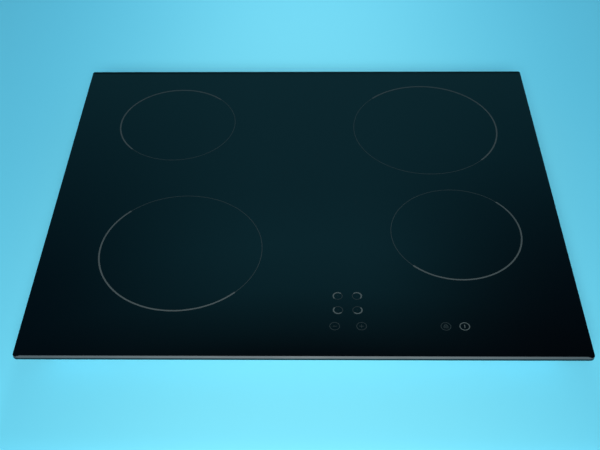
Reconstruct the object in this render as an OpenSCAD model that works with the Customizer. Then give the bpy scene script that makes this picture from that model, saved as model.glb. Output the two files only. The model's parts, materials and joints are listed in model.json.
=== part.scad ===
// Built-in glass-ceramic hob with four radiant zones and touch keys.
// Millimetres. +Z is up, +X is the user's right, -Y is the user's side.
// The origin is the middle of the tray's underside.

/* [Glass] */
// Width of the glass, left to right
glass_w = 595; // [585:1:640]
// Depth of the glass, front to back
glass_d = 510; // [505:1:540]
// Thickness of the glass
glass_t = 4; // [3:0.5:6]
// Corner radius at the front
front_corner_r = 5; // [3:0.5:12]
// Corner radius at the rear
rear_corner_r = 3; // [2:0.5:12]
// Width of the bevel along the front edge, seen from above
bevel_run = 2.3; // [0.5:0.1:2.8]
// How far the bevel goes down the front edge
bevel_drop = 1.1; // [0.5:0.1:2.5]
// Depth of the decoration fired into the glass
print_t = 0.1; // [0.05:0.05:0.2]

/* [Worktop fit] */
// Overlap of the glass over the cut-out at each side
lip_side = 17.5; // [15:0.5:22]
// Overlap of the glass over the cut-out at the front and the back
lip_end = 10; // [9:0.5:12]
// Depth of the hob below the worktop
body_depth = 44; // [42:0.5:56]
// Thickness of the foam gasket when pressed
gasket_t = 2; // [1:0.5:4]
// Width of the foam gasket
gasket_w = 6; // [4:0.5:7]
// Distance from the glass edge to the gasket
gasket_inset = 1.5; // [1:0.5:2.5]
// Play between the metal frame and the cut-out
cutout_play = 2; // [1:0.5:3]

/* [Zones] */
// Heated diameter of the rear right and front left zones
large_zone_d = 180; // [160:1:184]
// Heated diameter of the rear left and front right zones
small_zone_d = 145; // [130:1:150]
// Rear left zone's centre from the left edge
rear_left_x = 131; // [126:1:140]
// Rear left zone's centre from the rear edge
rear_left_y = 119; // [117:1:124]
// Rear right zone's centre from the right edge
rear_right_x = 142.2; // [141:0.2:150]
// Rear right zone's centre from the rear edge
rear_right_y = 128.7; // [126:0.1:132]
// Front left zone's centre from the left edge
front_left_x = 158; // [152:0.5:162]
// Front left zone's centre from the front edge
front_left_y = 156; // [150:1:160]
// Front right zone's centre from the right edge
front_right_x = 122.5; // [118:0.5:126]
// Front right zone's centre from the front edge
front_right_y = 184.6; // [180:0.1:190]
// Distance from the heated circle to the printed ring
print_outset = 2.2; // [1:0.1:4]
// Line width of a ring's broad half
broad_line = 1.8; // [1:0.1:3]
// Line width of a ring's fine half
fine_line = 0.6; // [0.3:0.1:1]

/* [Touch keys] */
// Middle of the zone keys, right of the hob's middle
zone_key_x = 47.6; // [40:0.1:60]
// Distance between zone keys, left to right
zone_key_pitch_x = 20.6; // [16:0.2:22]
// Distance between zone keys, front to back
zone_key_pitch_y = 20.3; // [16:0.1:21]
// Front row of zone keys from the front edge
zone_key_front = 65.2; // [60:0.1:66]
// Diameter of a zone key's ring
zone_key_d = 9.8; // [8:0.2:12]
// Line width of a zone key's broad half
zone_key_line = 1.4; // [0.6:0.1:2]
// Row of the lower keys from the front edge
low_key_front = 42.6; // [38:0.1:45]
// Minus key, right of the middle
minus_key_x = 33.4; // [28:0.1:36]
// Plus key, right of the middle
plus_key_x = 61.6; // [58:0.1:68]
// Lock key, right of the middle
lock_key_x = 149.8; // [140:0.1:154]
// On/off key, right of the middle
power_key_x = 169.5; // [168:0.5:175]
// Diameter of a lower key's ring
low_key_d = 11; // [9:0.5:13]
// Line width of the lower keys
key_line = 0.7; // [0.3:0.1:1]
// Line width of the on/off key
power_key_line = 1.1; // [0.5:0.1:1.5]

/* [Metalwork] */
// Sheet thickness of the tray and the frame
sheet = 0.8; // [0.6:0.1:1]
// Width of the frame's flange outside the tray, at the sides
flange_side = 5; // [4:0.5:8]
// Width of the frame's flange outside the tray, at the front and back
flange_end = 8; // [7:0.5:10]
// Height of the frame's skirt
skirt_h = 10; // [8:0.5:12]
// Thickness of the silicone bond
bond_t = 0.8; // [0.5:0.1:1.2]
// Width of the silicone bond
bond_w = 8; // [6:0.5:9]
// Radius of the tray's upright corners
tray_r = 8; // [6:0.5:12]
// How far the tray's front slopes back at the bottom
front_setback = 28; // [20:1:30]
// Length of a clamp pocket
pocket_l = 58; // [54:1:60]
// Depth of a clamp pocket
pocket_d = 26; // [25:0.5:27]
// Rear end of the rear clamp pockets from the tray's rear wall
rear_pocket_y = 6; // [5:0.5:8]
// Front end of the front clamp pockets from the tray's front wall
front_pocket_y = 45; // [42:1:50]
// Width of a clamp arm
clamp_w = 18; // [14:1:20]
// Thickness of a clamp arm
clamp_t = 2.5; // [2:0.1:3]
// Radius of a clamp screw's shank
clamp_screw_r = 2.5; // [2:0.1:3]

/* [Heaters] */
// Width of the dish and rim around the heated circle
heater_edge = 10; // [8:0.5:10]
// Sheet thickness of a heater dish
dish_t = 0.6; // [0.4:0.1:0.8]
// Height of a heater dish
dish_h = 25; // [24:0.5:27]
// Overall height of a heater
heater_h = 31; // [30:0.5:32]
// Thickness of the insulation slab
base_h = 12; // [10:0.5:13]
// Height of the heating ribbon
ribbon_h = 4; // [3:0.5:5]
// Turns of the heating ribbon
ribbon_turns = 7; // [5:1:8]
// Radius of the limiter rod
rod_r = 2.5; // [2:0.1:2.8]
// Travel of a heater on its springs
heater_travel = 2.5; // [1:0.5:2.5]

/* [Electronics] */
// Thickness of a circuit board
board_t = 1.6; // [1:0.2:2]
// Wall of the plastic mouldings
moulding_t = 1.6; // [1.2:0.2:2]
// Width of the terminal cover
cover_w = 74; // [60:1:76]
// Radius of the supply cable's passage
cable_r = 7; // [5:0.5:7]
// Radius of the terminal cover's hinge pins
hinge_pin_r = 1.5; // [1.2:0.1:1.8]

/* [Hidden] */
$fn = 96;
eps = 0.01;

// Clearances
slip = 0.1;        // between pieces that slide together when built
run_gap = 0.06;    // radial, between a pin and its bearing
rest_gap = 0.3;    // between pieces that move apart

// Heights
glass_z = body_depth + gasket_t;
top_z = glass_z + glass_t;
flange_z = glass_z - bond_t - sheet;
skirt_z = flange_z - skirt_h;
tray_top = flange_z - 1;
knee_z = skirt_z - 0.4;
rim_top = glass_z - rest_gap;
dish_z = rim_top - heater_h;
base_top = dish_z + dish_t + base_h;
rod_clear = 1.2;        // between the ribbon and the limiter's rod
rod_z = base_top + ribbon_h + rod_r + rod_clear;
pocket_h = dish_z - heater_travel - sheet - 0.4;    // a lowered heater clears the clamp pockets

// Plan sizes
cutout_w = glass_w - 2 * lip_side;
cutout_d = glass_d - 2 * lip_end;
flange_w = cutout_w - 2 * cutout_play;
flange_d = cutout_d - 2 * cutout_play;
tray_w = flange_w - 2 * flange_side;
tray_d = flange_d - 2 * flange_end;
skirt_in = sheet + slip;
wall_x = tray_w / 2;
wall_y = tray_d / 2;
slope = atan(front_setback / knee_z);

// A zone is [x, y, heated diameter, middle of the broad half, angle of the limiter]
REAR_LEFT = [-glass_w / 2 + rear_left_x, glass_d / 2 - rear_left_y, small_zone_d, 135, -25];
REAR_RIGHT = [glass_w / 2 - rear_right_x, glass_d / 2 - rear_right_y, large_zone_d, 45, 195];
FRONT_LEFT = [-glass_w / 2 + front_left_x, -glass_d / 2 + front_left_y, large_zone_d, 225, 75];
FRONT_RIGHT = [glass_w / 2 - front_right_x, -glass_d / 2 + front_right_y, small_zone_d, 315, 130];
ZONES = [REAR_LEFT, REAR_RIGHT, FRONT_LEFT, FRONT_RIGHT];
function heated_r(zone) = zone[2] / 2;
function dish_r(zone) = heated_r(zone) + heater_edge;
// A point at a distance from a zone's middle, on the limiter's side
function off_zone(zone, away, across, z) =
    [zone[0] + away * cos(zone[4]) - across * sin(zone[4]),
     zone[1] + away * sin(zone[4]) + across * cos(zone[4]), z];

// Touch keys, as [x, y]
zone_key_y = -glass_d / 2 + zone_key_front;
low_key_y = -glass_d / 2 + low_key_front;
ZONE_KEYS = [for (i = [0, 1], j = [0, 1])
    [zone_key_x + (i - 0.5) * zone_key_pitch_x, zone_key_y + j * zone_key_pitch_y]];
ZONE_KEY_ANGLES = [225, 135, 315, 45];
LOW_KEYS = [for (x = [minus_key_x, plus_key_x, lock_key_x, power_key_x]) [x, low_key_y]];

// ---------------------------------------------------------------- shared shapes

module rounded_rect(w, d, front_r, rear_r) {
    difference() {
        square([w, d], center = true);
        for (side = [-1, 1]) {
            corner_cut(side * w / 2, -d / 2, side, -1, front_r);
            corner_cut(side * w / 2, d / 2, side, 1, rear_r);
        }
    }
}

// What is left of a square corner outside its arc
module corner_cut(x, y, side_x, side_y, r) {
    translate([x - side_x * r, y - side_y * r]) difference() {
        translate([side_x > 0 ? 0 : -r - 1, side_y > 0 ? 0 : -r - 1]) square(r + 1);
        circle(r);
    }
}

module ring_rect(w, d, band, r) {
    difference() {
        rounded_rect(w, d, r, r);
        rounded_rect(w - 2 * band, d - 2 * band, max(r - band, 1), max(r - band, 1));
    }
}

module arc_band(r, line, middle, span, h) {
    rotate([0, 0, middle - span / 2]) rotate_extrude(angle = span)
        translate([r - line / 2, 0]) square([line, h]);
}

module at(x, y, z = 0) translate([x, y, z]) children();

// A round wire swept along points, with its end faces square to the end legs
function unit(v) = v / norm(v);
function curve_point(p, i, t) = let (
        a = p[max(i - 1, 0)], b = p[i], c = p[i + 1], d = p[min(i + 2, len(p) - 1)],
        m = (c - a) / 2, n = (d - b) / 2)
    b * (2 * t * t * t - 3 * t * t + 1) + m * (t * t * t - 2 * t * t + t)
    + c * (3 * t * t - 2 * t * t * t) + n * (t * t * t - t * t);
function curve(p, steps) = [for (i = [0:len(p) - 2], s = [0:steps - 1])
    curve_point(p, i, s / steps), p[len(p) - 1]];

module wire(points, d, steps = 4, sides = 8) {
    path = curve(points, steps);
    last = len(path) - 1;
    tangents = [for (i = [0:last]) i == 0 ? unit(points[1] - points[0])
        : i == last ? unit(points[len(points) - 1] - points[len(points) - 2])
        : unit(path[i + 1] - path[i - 1])];
    rings = [for (i = [0:last], k = [0:sides - 1]) let (
            t = tangents[i],
            side = unit(cross(t, abs(t[2]) > 0.9 ? [1, 0, 0.2] : [0, 0, 1])),
            up = cross(side, t))
        path[i] + d / 2 * (cos(k * 360 / sides) * side + sin(k * 360 / sides) * up)];
    walls = [for (i = [0:last - 1], k = [0:sides - 1])
        let (n = (k + 1) % sides)
        each [[i * sides + k, (i + 1) * sides + n, (i + 1) * sides + k],
              [i * sides + k, i * sides + n, (i + 1) * sides + n]]];
    ends = [[for (k = [sides - 1:-1:0]) k],
            [for (k = [0:sides - 1]) last * sides + k]];
    polyhedron(rings, concat(walls, ends));
}

// ---------------------------------------------------------------- glass and frame

module glass_panel() {
    bevel_turn = atan2(bevel_drop, bevel_run);
    bevel_w = norm([bevel_run, bevel_drop]);
    color([0.02, 0.03, 0.035]) difference() {
        at(0, 0, glass_z) linear_extrude(glass_t)
            rounded_rect(glass_w, glass_d, front_corner_r, rear_corner_r);
        at(0, -glass_d / 2, top_z - bevel_drop) rotate([bevel_turn, 0, 0])
            at(-glass_w / 2 - 1, -1) cube([glass_w + 2, bevel_w + 2, bevel_w]);
        at(0, 0, top_z - print_t) {
            zone_lines(2 * print_t);
            key_lines(2 * print_t);
        }
    }
}

// A ring has one broad half, towards its own corner of the hob
module zone_lines(h) {
    for (zone = ZONES) at(zone[0], zone[1]) {
        arc_band(heated_r(zone) + print_outset, broad_line, zone[3], 180, h);
        arc_band(heated_r(zone) + print_outset, fine_line, zone[3] + 180, 180, h);
    }
}

key_dot_r = 0.35;
key_bar = 4.6;

module key_lines(h) {
    for (i = [0:3]) at(ZONE_KEYS[i][0], ZONE_KEYS[i][1]) {
        arc_band(zone_key_d / 2, zone_key_line, ZONE_KEY_ANGLES[i], 180, h);
        arc_band(zone_key_d / 2, key_line, ZONE_KEY_ANGLES[i] + 180, 180, h);
        cylinder(h = h, r = key_dot_r);
    }
    for (i = [0:2]) at(LOW_KEYS[i][0], LOW_KEYS[i][1])
        arc_band(low_key_d / 2 - key_line / 2, key_line, 0, 360, h);
    at(minus_key_x, low_key_y, h / 2) cube([key_bar, key_line, h], center = true);
    at(plus_key_x, low_key_y) linear_extrude(h) {
        square([key_bar, key_line], center = true);
        square([key_line, key_bar], center = true);
    }
    at(lock_key_x, low_key_y) lock_symbol(h);
    at(power_key_x, low_key_y) {
        arc_band(low_key_d / 2 - power_key_line / 2, power_key_line, 0, 360, h);
        at(0, 0, h / 2) cube([power_key_line, key_bar, h], center = true);
    }
}

module lock_symbol(h) {
    body_w = 4.2;
    body_h = 2.8;
    shackle_r = 1.3;
    linear_extrude(h) {
        at(0, -body_h / 2) difference() {
            square([body_w, body_h], center = true);
            square([body_w - 2 * key_line, body_h - 2 * key_line], center = true);
        }
        difference() {
            circle(shackle_r + key_line / 2);
            circle(shackle_r - key_line / 2);
            at(0, -body_w) square(2 * body_w, center = true);
        }
    }
}

module zone_print() color([0.45, 0.45, 0.44]) at(0, 0, top_z - print_t) zone_lines(print_t);
module control_print() color([0.45, 0.45, 0.44]) at(0, 0, top_z - print_t) key_lines(print_t);

module worktop_gasket() {
    color([0.12, 0.12, 0.12]) at(0, 0, body_depth) linear_extrude(gasket_t)
        ring_rect(glass_w - 2 * gasket_inset, glass_d - 2 * gasket_inset, gasket_w, 4);
}

module silicone_bond() {
    color([0.2, 0.2, 0.2]) at(0, 0, glass_z - bond_t) linear_extrude(bond_t)
        ring_rect(flange_w - 2, flange_d - 2, bond_w, tray_r);
}

module glass_frame() {
    skirt_w = tray_w - 2 * skirt_in;
    skirt_d = tray_d - 2 * skirt_in;
    color([0.7, 0.71, 0.72]) difference() {
        union() {
            at(0, 0, flange_z) linear_extrude(sheet)
                difference() {
                    rounded_rect(flange_w, flange_d, tray_r, tray_r);
                    rounded_rect(skirt_w - 2 * sheet, skirt_d - 2 * sheet,
                                 tray_r - sheet, tray_r - sheet);
                }
            at(0, 0, skirt_z) linear_extrude(skirt_h + eps) ring_rect(skirt_w, skirt_d, sheet, tray_r);
        }
        tray_screw_places() screw_bore(tray_screw_r + slip / 2);
    }
}

// ---------------------------------------------------------------- tray

tray_screw_r = 1.75;
tray_screw_z = skirt_z + skirt_h / 2;
tray_screw_head_r = 3.5;
tray_screw_head_h = 2;
side_screw_y = 110;     // of the side screws, from the middle
end_screw_x = 190;      // of the outer front and rear screws, from the middle

// Frame screws: local +Z points out of the tray wall, with its origin on the wall's face
module tray_screw_places() {
    for (side = [-1, 1], y = [-side_screw_y, side_screw_y])
        at(side * wall_x, y, tray_screw_z) rotate([0, side * 90, 0]) children();
    for (side = [-1, 1], x = [-end_screw_x, 100, end_screw_x])
        at(x, side * wall_y, tray_screw_z) rotate([-side * 90, 0, 0]) children();
}

module screw_bore(r) at(0, 0, -4) cylinder(h = 8, r = r);

module tray_screws() {
    color([0.75, 0.75, 0.77]) tray_screw_places() {
        at(0, 0, slip) difference() {
            cylinder(h = tray_screw_head_h, r = tray_screw_head_r);
            at(0, 0, tray_screw_head_h) for (turn = [0, 90]) rotate([0, 0, turn])
                cube([4, 0.8, 2], center = true);
        }
        at(0, 0, -3.5) cylinder(h = 3.5 + slip, r = tray_screw_r);
    }
}

// The tray's outline moved in by inset, from a floor at low up to high
module pan_solid(inset, low, high) {
    knee_y = -wall_y + inset;
    knee = knee_z + inset * tan(slope / 2);
    reach = 2 * knee_z;
    difference() {
        at(0, 0, low) linear_extrude(high - low)
            rounded_rect(tray_w - 2 * inset, tray_d - 2 * inset, tray_r - inset, tray_r - inset);
        at(-tray_w, 0) rotate([90, 0, 90]) linear_extrude(2 * tray_w) polygon([
            [knee_y, knee],
            [knee_y + reach * tan(slope), knee - reach],
            [knee_y - reach, knee - reach],
            [knee_y - reach, knee]]);
    }
}

// Pivots of the clamps: [x, y, angle of the folded arm, way it swings out]
pivot_in = 12;          // from the tray's side wall
pivot_end = 11;         // from the pocket's end
pivot_x = wall_x - pivot_in;
rear_pocket_end = wall_y - rear_pocket_y;
front_pocket_end = -wall_y + front_pocket_y;
rear_pivot_y = rear_pocket_end - pivot_end;
front_pivot_y = front_pocket_end + pivot_end;

module pockets(grow) {
    span = pocket_l + 2 * grow;
    for (side = [-1, 1], low = [rear_pocket_end - pocket_l, front_pocket_end])
        at(side * (wall_x + 10), low + pocket_l / 2, pocket_h / 2)
            cube([2 * (pocket_d + 10 + grow), span, pocket_h + 2 * grow], center = true);
}

module clamp_pivots() {
    for (side = [-1, 1], y = [rear_pivot_y, front_pivot_y]) at(side * pivot_x, y) children();
}

boss_r = 4.5;
boss_low = pocket_h - 5.8;      // underside of the boss that a clamp turns against
vent_w = 3;
vent_l = 26;
rear_vent_h = 16;

module vents() {
    // under the power board
    for (x = [-1, 1], i = [-6:6]) at(board_x + x * 18, board_y + i * 9, 0)
        cube([vent_l, vent_w, 4 * sheet], center = true);
    // in the rear wall
    for (side = [-1, 1], i = [0:11]) at(side * 175 + (i - 5.5) * 7, wall_y, 20)
        cube([vent_w, 6 * sheet, rear_vent_h], center = true);
    // in the sloped front
    for (i = [-9:9]) at(i * 22, -wall_y + front_setback / 2, knee_z / 2)
        rotate([-slope, 0, 0]) cube([14, 8 * sheet, vent_w], center = true);
}

// Stiffening beads pressed into the floor, as [x, y, length]
BEADS = [[-150, 60, 150], [150, 25, 120], [-20, 60, 90]];
bead_w = 8;
bead_h = 1.2;
module beads(grow) {
    for (bead = BEADS) at(bead[0], bead[1], bead_h / 2)
        cube([bead[2] + 2 * grow, bead_w + 2 * grow, bead_h + 2 * grow], center = true);
}

module tray() {
    color([0.66, 0.68, 0.69]) difference() {
        union() {
            difference() {
                pan_solid(0, 0, tray_top);
                difference() {
                    pan_solid(sheet, sheet, tray_top + 1);
                    pockets(sheet);
                    beads(sheet);
                }
                pockets(0);
                beads(0);
                vents();
            }
            clamp_pivots() at(0, 0, boss_low) cylinder(h = pocket_h + sheet - boss_low, r = boss_r);
        }
        clamp_pivots() cylinder(h = pocket_h + 2, r = clamp_screw_r + slip / 2);
        tray_screw_places() screw_bore(tray_screw_r + slip / 2);
        at(cover_mid_x, wall_y, (cover_low + cover_top) / 2)
            cube([cover_w - 2 * cover_lap, 6 * sheet, cover_top - cover_low - 2 * cover_lap],
                 center = true);
        at(bush_x, wall_y - 4, bush_z) rotate([-90, 0, 0]) cylinder(h = 8, r = bush_r + slip / 2);
        for (side = [-1, 1]) at(cover_mid_x + side * (cover_w / 2 + 3), wall_y, hinge_z)
            cube([ear_w + 0.4, 6 * sheet, 2 * ear_r + 0.4], center = true);
        at(earth_x, earth_y, -1) cylinder(h = 4, r = 2 + slip / 2);
    }
}

// ---------------------------------------------------------------- worktop clamps

arm_reach = pocket_l - pivot_end - 2;
arm_z = boss_low - slip - clamp_t;

module clamp_arm() {
    tooth_h = boss_low + 3.4 - arm_z;
    color([0.74, 0.75, 0.76]) at(0, 0, arm_z) difference() {
        union() {
            cylinder(h = clamp_t, r = clamp_w / 2);
            at(0, -clamp_w / 2) cube([arm_reach, clamp_w, clamp_t]);
            for (side = [-1, 1]) at(arm_reach - clamp_t, side * clamp_w / 3 - clamp_w / 6)
                cube([clamp_t, clamp_w / 3, tooth_h]);
        }
        at(0, 0, -1) cylinder(h = clamp_t + 2, r = clamp_screw_r + run_gap);
        at(arm_reach * 0.55, 0, -1) cylinder(h = clamp_t + 2, r = 2);
    }
}

module rear_left_clamp() at(-pivot_x, rear_pivot_y) rotate([0, 0, -90]) clamp_arm();
module rear_right_clamp() at(pivot_x, rear_pivot_y) rotate([0, 0, -90]) clamp_arm();
module front_left_clamp() at(-pivot_x, front_pivot_y) rotate([0, 0, 90]) clamp_arm();
module front_right_clamp() at(pivot_x, front_pivot_y) rotate([0, 0, 90]) clamp_arm();

module clamp_screws() {
    head_h = arm_z - slip;
    hex_w = 5;
    color([0.78, 0.78, 0.8]) clamp_pivots() difference() {
        union() {
            cylinder(h = head_h, r = 2 * clamp_screw_r);
            cylinder(h = pocket_h + 4, r = clamp_screw_r);
        }
        at(0, 0, -eps) cylinder(h = head_h * 0.7, r = hex_w / 2, $fn = 6);
    }
}

// ---------------------------------------------------------------- heaters

module along_limiter(zone) {
    at(zone[0], zone[1]) rotate([0, 0, zone[4]]) children();
}

module limiter_bore(zone) {
    past = 2;
    along_limiter(zone) at(heated_r(zone) - past, 0, rod_z) rotate([0, 90, 0])
        cylinder(h = heater_edge + 2 * past, r = rod_r + slip);
}

module heater_dish(zone) {
    color([0.62, 0.62, 0.6]) difference() {
        at(zone[0], zone[1], dish_z) cylinder(h = dish_h, r = dish_r(zone));
        at(zone[0], zone[1], dish_z + dish_t) cylinder(h = dish_h, r = dish_r(zone) - dish_t);
        limiter_bore(zone);
    }
}

module heater_base(zone) {
    color([0.86, 0.85, 0.8]) at(zone[0], zone[1], dish_z + dish_t)
        cylinder(h = base_h, r = dish_r(zone) - dish_t - slip);
}

module heater_rim(zone) {
    color([0.8, 0.76, 0.66]) difference() {
        at(zone[0], zone[1], base_top)
            cylinder(h = rim_top - base_top, r = dish_r(zone) - dish_t - slip);
        at(zone[0], zone[1], base_top - 1) cylinder(h = heater_h, r = heated_r(zone));
        limiter_bore(zone);
    }
}

// One conductor that runs out through its turns, back and forth
module heater_ribbon(zone) {
    ribbon_t = 0.6;
    inner_r = 16;
    wall_gap = 6;
    gap_angle = 24;
    link_angle = 1;
    pitch = (heated_r(zone) - wall_gap - inner_r) / (ribbon_turns - 1);
    color([0.45, 0.42, 0.4]) at(zone[0], zone[1], base_top) rotate([0, 0, zone[4] + gap_angle]) {
        for (i = [0:ribbon_turns - 1]) rotate([0, 0, gap_angle / 2])
            rotate_extrude(angle = 360 - gap_angle)
                translate([inner_r + i * pitch - ribbon_t / 2, 0]) square([ribbon_t, ribbon_h]);
        for (i = [0:ribbon_turns - 2])
            rotate([0, 0, i % 2 == 0 ? -gap_angle / 2 - 2 * link_angle : gap_angle / 2 + link_angle])
                rotate_extrude(angle = link_angle)
                    translate([inner_r + i * pitch, 0]) square([pitch, ribbon_h]);
    }
}

switch_l = 22;          // length of a limiter's ceramic head
switch_w = 16;
switch_low = 24;
switch_top = 42;
tab_l = 8;
tab_w = 6.3;
tab_t = 0.8;
tab_apart = 10;         // between a head's two tabs
tab_z = 30;
function lead_start(zone) = dish_r(zone) + rest_gap + switch_l + tab_l;

module heater_limiter(zone) {
    head_x = dish_r(zone) + rest_gap;
    rod_end = 4;
    root = 1;
    color([0.9, 0.88, 0.84]) along_limiter(zone) {
        at(-heated_r(zone) + rod_end, 0, rod_z) rotate([0, 90, 0])
            cylinder(h = heated_r(zone) - rod_end + head_x + root, r = rod_r);
        at(head_x, -switch_w / 2, switch_low) cube([switch_l, switch_w, switch_top - switch_low]);
        for (side = [-1, 1])
            at(head_x + switch_l - root, side * tab_apart / 2 - tab_t / 2, tab_z - tab_w / 2)
                cube([tab_l + root, tab_t, tab_w]);
    }
}

spring_t = 0.6;
spring_w = 12;
spring_span = 44;
spring_foot = 6;
spring_lap = 1.5;       // of a foot under the arch's end
spring_place = 0.55;    // share of the heated radius at which the springs stand

module leaf_spring(rise) {
    arch_r = (spring_span * spring_span / 4 + rise * rise) / (2 * rise);
    half = acos((arch_r - rise) / (arch_r - spring_t));
    at(0, spring_w / 2, 0) rotate([90, 0, 0]) {
        at(0, rise - arch_r) rotate([0, 0, 90 - half]) rotate_extrude(angle = 2 * half)
            translate([arch_r - spring_t, -spring_w]) square([spring_t, spring_w]);
    }
    for (side = [-1, 1]) at(side * (spring_span + spring_foot - spring_lap) / 2, 0, spring_t / 2)
        cube([spring_foot + spring_lap, spring_w, spring_t], center = true);
}

module heater_springs(zone) {
    color([0.6, 0.61, 0.63]) for (turn = [60, 180, 300])
        at(zone[0], zone[1], sheet) rotate([0, 0, zone[4] + turn])
            at(heated_r(zone) * spring_place, 0) rotate([0, 0, 90])
                leaf_spring(dish_z - sheet - rest_gap);
}

// ---------------------------------------------------------------- touch control

carrier_x0 = 4;
carrier_x1 = 186;
carrier_y0 = low_key_y - 13;
carrier_y1 = zone_key_y + zone_key_pitch_y + 9;
carrier_z = 25;
touch_board_z = 34;
leg_r = 4;
leg_y = carrier_y1 - 14;

module touch_carrier() {
    w = carrier_x1 - carrier_x0;
    d = carrier_y1 - carrier_y0;
    ledge = 2;
    color([0.25, 0.25, 0.26]) {
        difference() {
            at(carrier_x0, carrier_y0, carrier_z) cube([w, d, glass_z - carrier_z]);
            at(carrier_x0 + moulding_t, carrier_y0 + moulding_t, touch_board_z)
                cube([w - 2 * moulding_t, d - 2 * moulding_t, glass_z]);
            at(carrier_x0 + moulding_t + ledge, carrier_y0 + moulding_t + ledge, carrier_z + moulding_t)
                cube([w - 2 * moulding_t - 2 * ledge, d - 2 * moulding_t - 2 * ledge, glass_z]);
            at(board_x, carrier_y1 - 11, carrier_z)
                cube([cable_w + 6, 6, 3 * moulding_t], center = true);
        }
        for (x = [carrier_x0 + 8, carrier_x1 - 8]) at(x, leg_y, sheet)
            cylinder(h = carrier_z - sheet, r = leg_r);
    }
}

module touch_board() {
    w = carrier_x1 - carrier_x0 - 2 * moulding_t - 2 * slip;
    d = carrier_y1 - carrier_y0 - 2 * moulding_t - 2 * slip;
    color([0.1, 0.35, 0.2])
        at(carrier_x0 + moulding_t + slip, carrier_y0 + moulding_t + slip, touch_board_z)
            cube([w, d, board_t]);
}

module touch_pads() {
    pad_r = 4;
    low = touch_board_z + board_t;
    color([0.08, 0.08, 0.09]) for (key = concat(ZONE_KEYS, LOW_KEYS))
        at(key[0], key[1], low) cylinder(h = glass_z - low, r = pad_r);
}

module displays() {
    display_w = 8;
    display_d = 12;
    display_h = 7;
    away = zone_key_pitch_x / 2 + 5.5 + display_w / 2;
    color([0.15, 0.15, 0.16]) for (side = [-1, 1], row = [0, 1])
        at(zone_key_x + side * away - display_w / 2,
           zone_key_y + row * zone_key_pitch_y - display_d / 2,
           touch_board_z + board_t) cube([display_w, display_d, display_h]);
}

shield_t = 0.6;
shield_y = carrier_y1 + 3;
shield_low_x = -15;
shield_high_x = 200;
cable_w = 16;

module heat_shield() {
    shield_w = shield_high_x - shield_low_x;
    color([0.7, 0.71, 0.72]) difference() {
        union() {
            at(shield_low_x, shield_y, sheet) cube([shield_w, shield_t, glass_z - 4 - sheet]);
            at(shield_low_x, shield_y - 8, sheet) cube([shield_w, 8 + shield_t, shield_t]);
        }
        at(board_x, shield_y, cable_z) cube([cable_w + 4, 6, 6], center = true);
    }
}

// ---------------------------------------------------------------- power electronics

board_x = 24;
board_y = -65;
board_w = 84;
board_d = 138;
board_post_h = 6;
board_z = sheet + moulding_t + board_post_h;
board_top = board_z + board_t;
cable_z = board_top + 3;

module board_base() {
    post_r = 3;
    rim = 3;
    color([0.3, 0.3, 0.31]) {
        at(board_x, board_y, sheet) linear_extrude(moulding_t) difference() {
            square([board_w + 2 * rim, board_d + 2 * rim], center = true);
            for (i = [-6:6]) at(0, i * 9) square([2 * vent_l, vent_w], center = true);
        }
        at(board_x, board_y, sheet) linear_extrude(board_post_h)
            ring_rect(board_w + 2 * rim, board_d + 2 * rim, moulding_t, 3);
        for (x = [-1, 1], y = [-1, 1])
            at(board_x + x * (board_w / 2 - 4), board_y + y * (board_d / 2 - 4), sheet)
                cylinder(h = board_z - sheet, r = post_r);
    }
}

// Places of the board's upright tabs along its rear edge, from the board's middle
TAB_PLACES = [-38, -33, -19, -14, 14, 19, 33, 38];
SUPPLY_PLACES = [-4, 0, 4];
board_tab_h = 8;
board_tab_y = board_y + board_d / 2 - 6;

module power_board() {
    color([0.12, 0.38, 0.22]) at(board_x, board_y, board_z + board_t / 2)
        cube([board_w, board_d, board_t], center = true);
    color([0.8, 0.8, 0.78]) for (x = concat(TAB_PLACES, SUPPLY_PLACES))
        at(board_x + x - tab_t / 2, board_tab_y - tab_w / 2, board_top - eps)
            cube([tab_t, tab_w, board_tab_h + eps]);
}

module relays() {
    relay = [15.5, 19, 15.5];
    color([0.12, 0.14, 0.16]) for (i = [-1.5:1.5], row = [0, 1])
        at(board_x + i * 20 - relay[0] / 2, board_y + 18 + row * 22 - relay[1] / 2, board_top)
            cube(relay);
}

module power_parts() {
    transformer = [30, 26, 22];
    capacitor_h = 22;
    capacitor_r = 6.5;
    filter = [26, 10, 14];
    color([0.75, 0.6, 0.2]) at(board_x - 20, board_y - 28, board_top + transformer[2] / 2)
        cube(transformer, center = true);
    color([0.1, 0.15, 0.35]) for (x = [12, 28]) at(board_x + x, board_y - 20, board_top)
        cylinder(h = capacitor_h, r = capacitor_r);
    color([0.8, 0.7, 0.15]) at(board_x + 20, board_y - 42, board_top + filter[2] / 2)
        cube(filter, center = true);
}

// ---------------------------------------------------------------- terminal box

box_x0 = -84;
box_x1 = 38;
box_depth = 54;
box_y1 = wall_y - sheet;
box_y0 = box_y1 - box_depth;
box_top = skirt_z - 0.4;
cover_mid_x = -40;
cover_low = 7;
cover_top = 35;
cover_lap = 3;
cover_t = 2;
cover_gap = 0.4;
ear_w = 4;
ear_r = 3;
hinge_z = 5;
hinge_y = wall_y + ear_r + cover_gap + 0.2;
bush_x = 19;
bush_z = 19;
bush_r = cable_r + 3;

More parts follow.
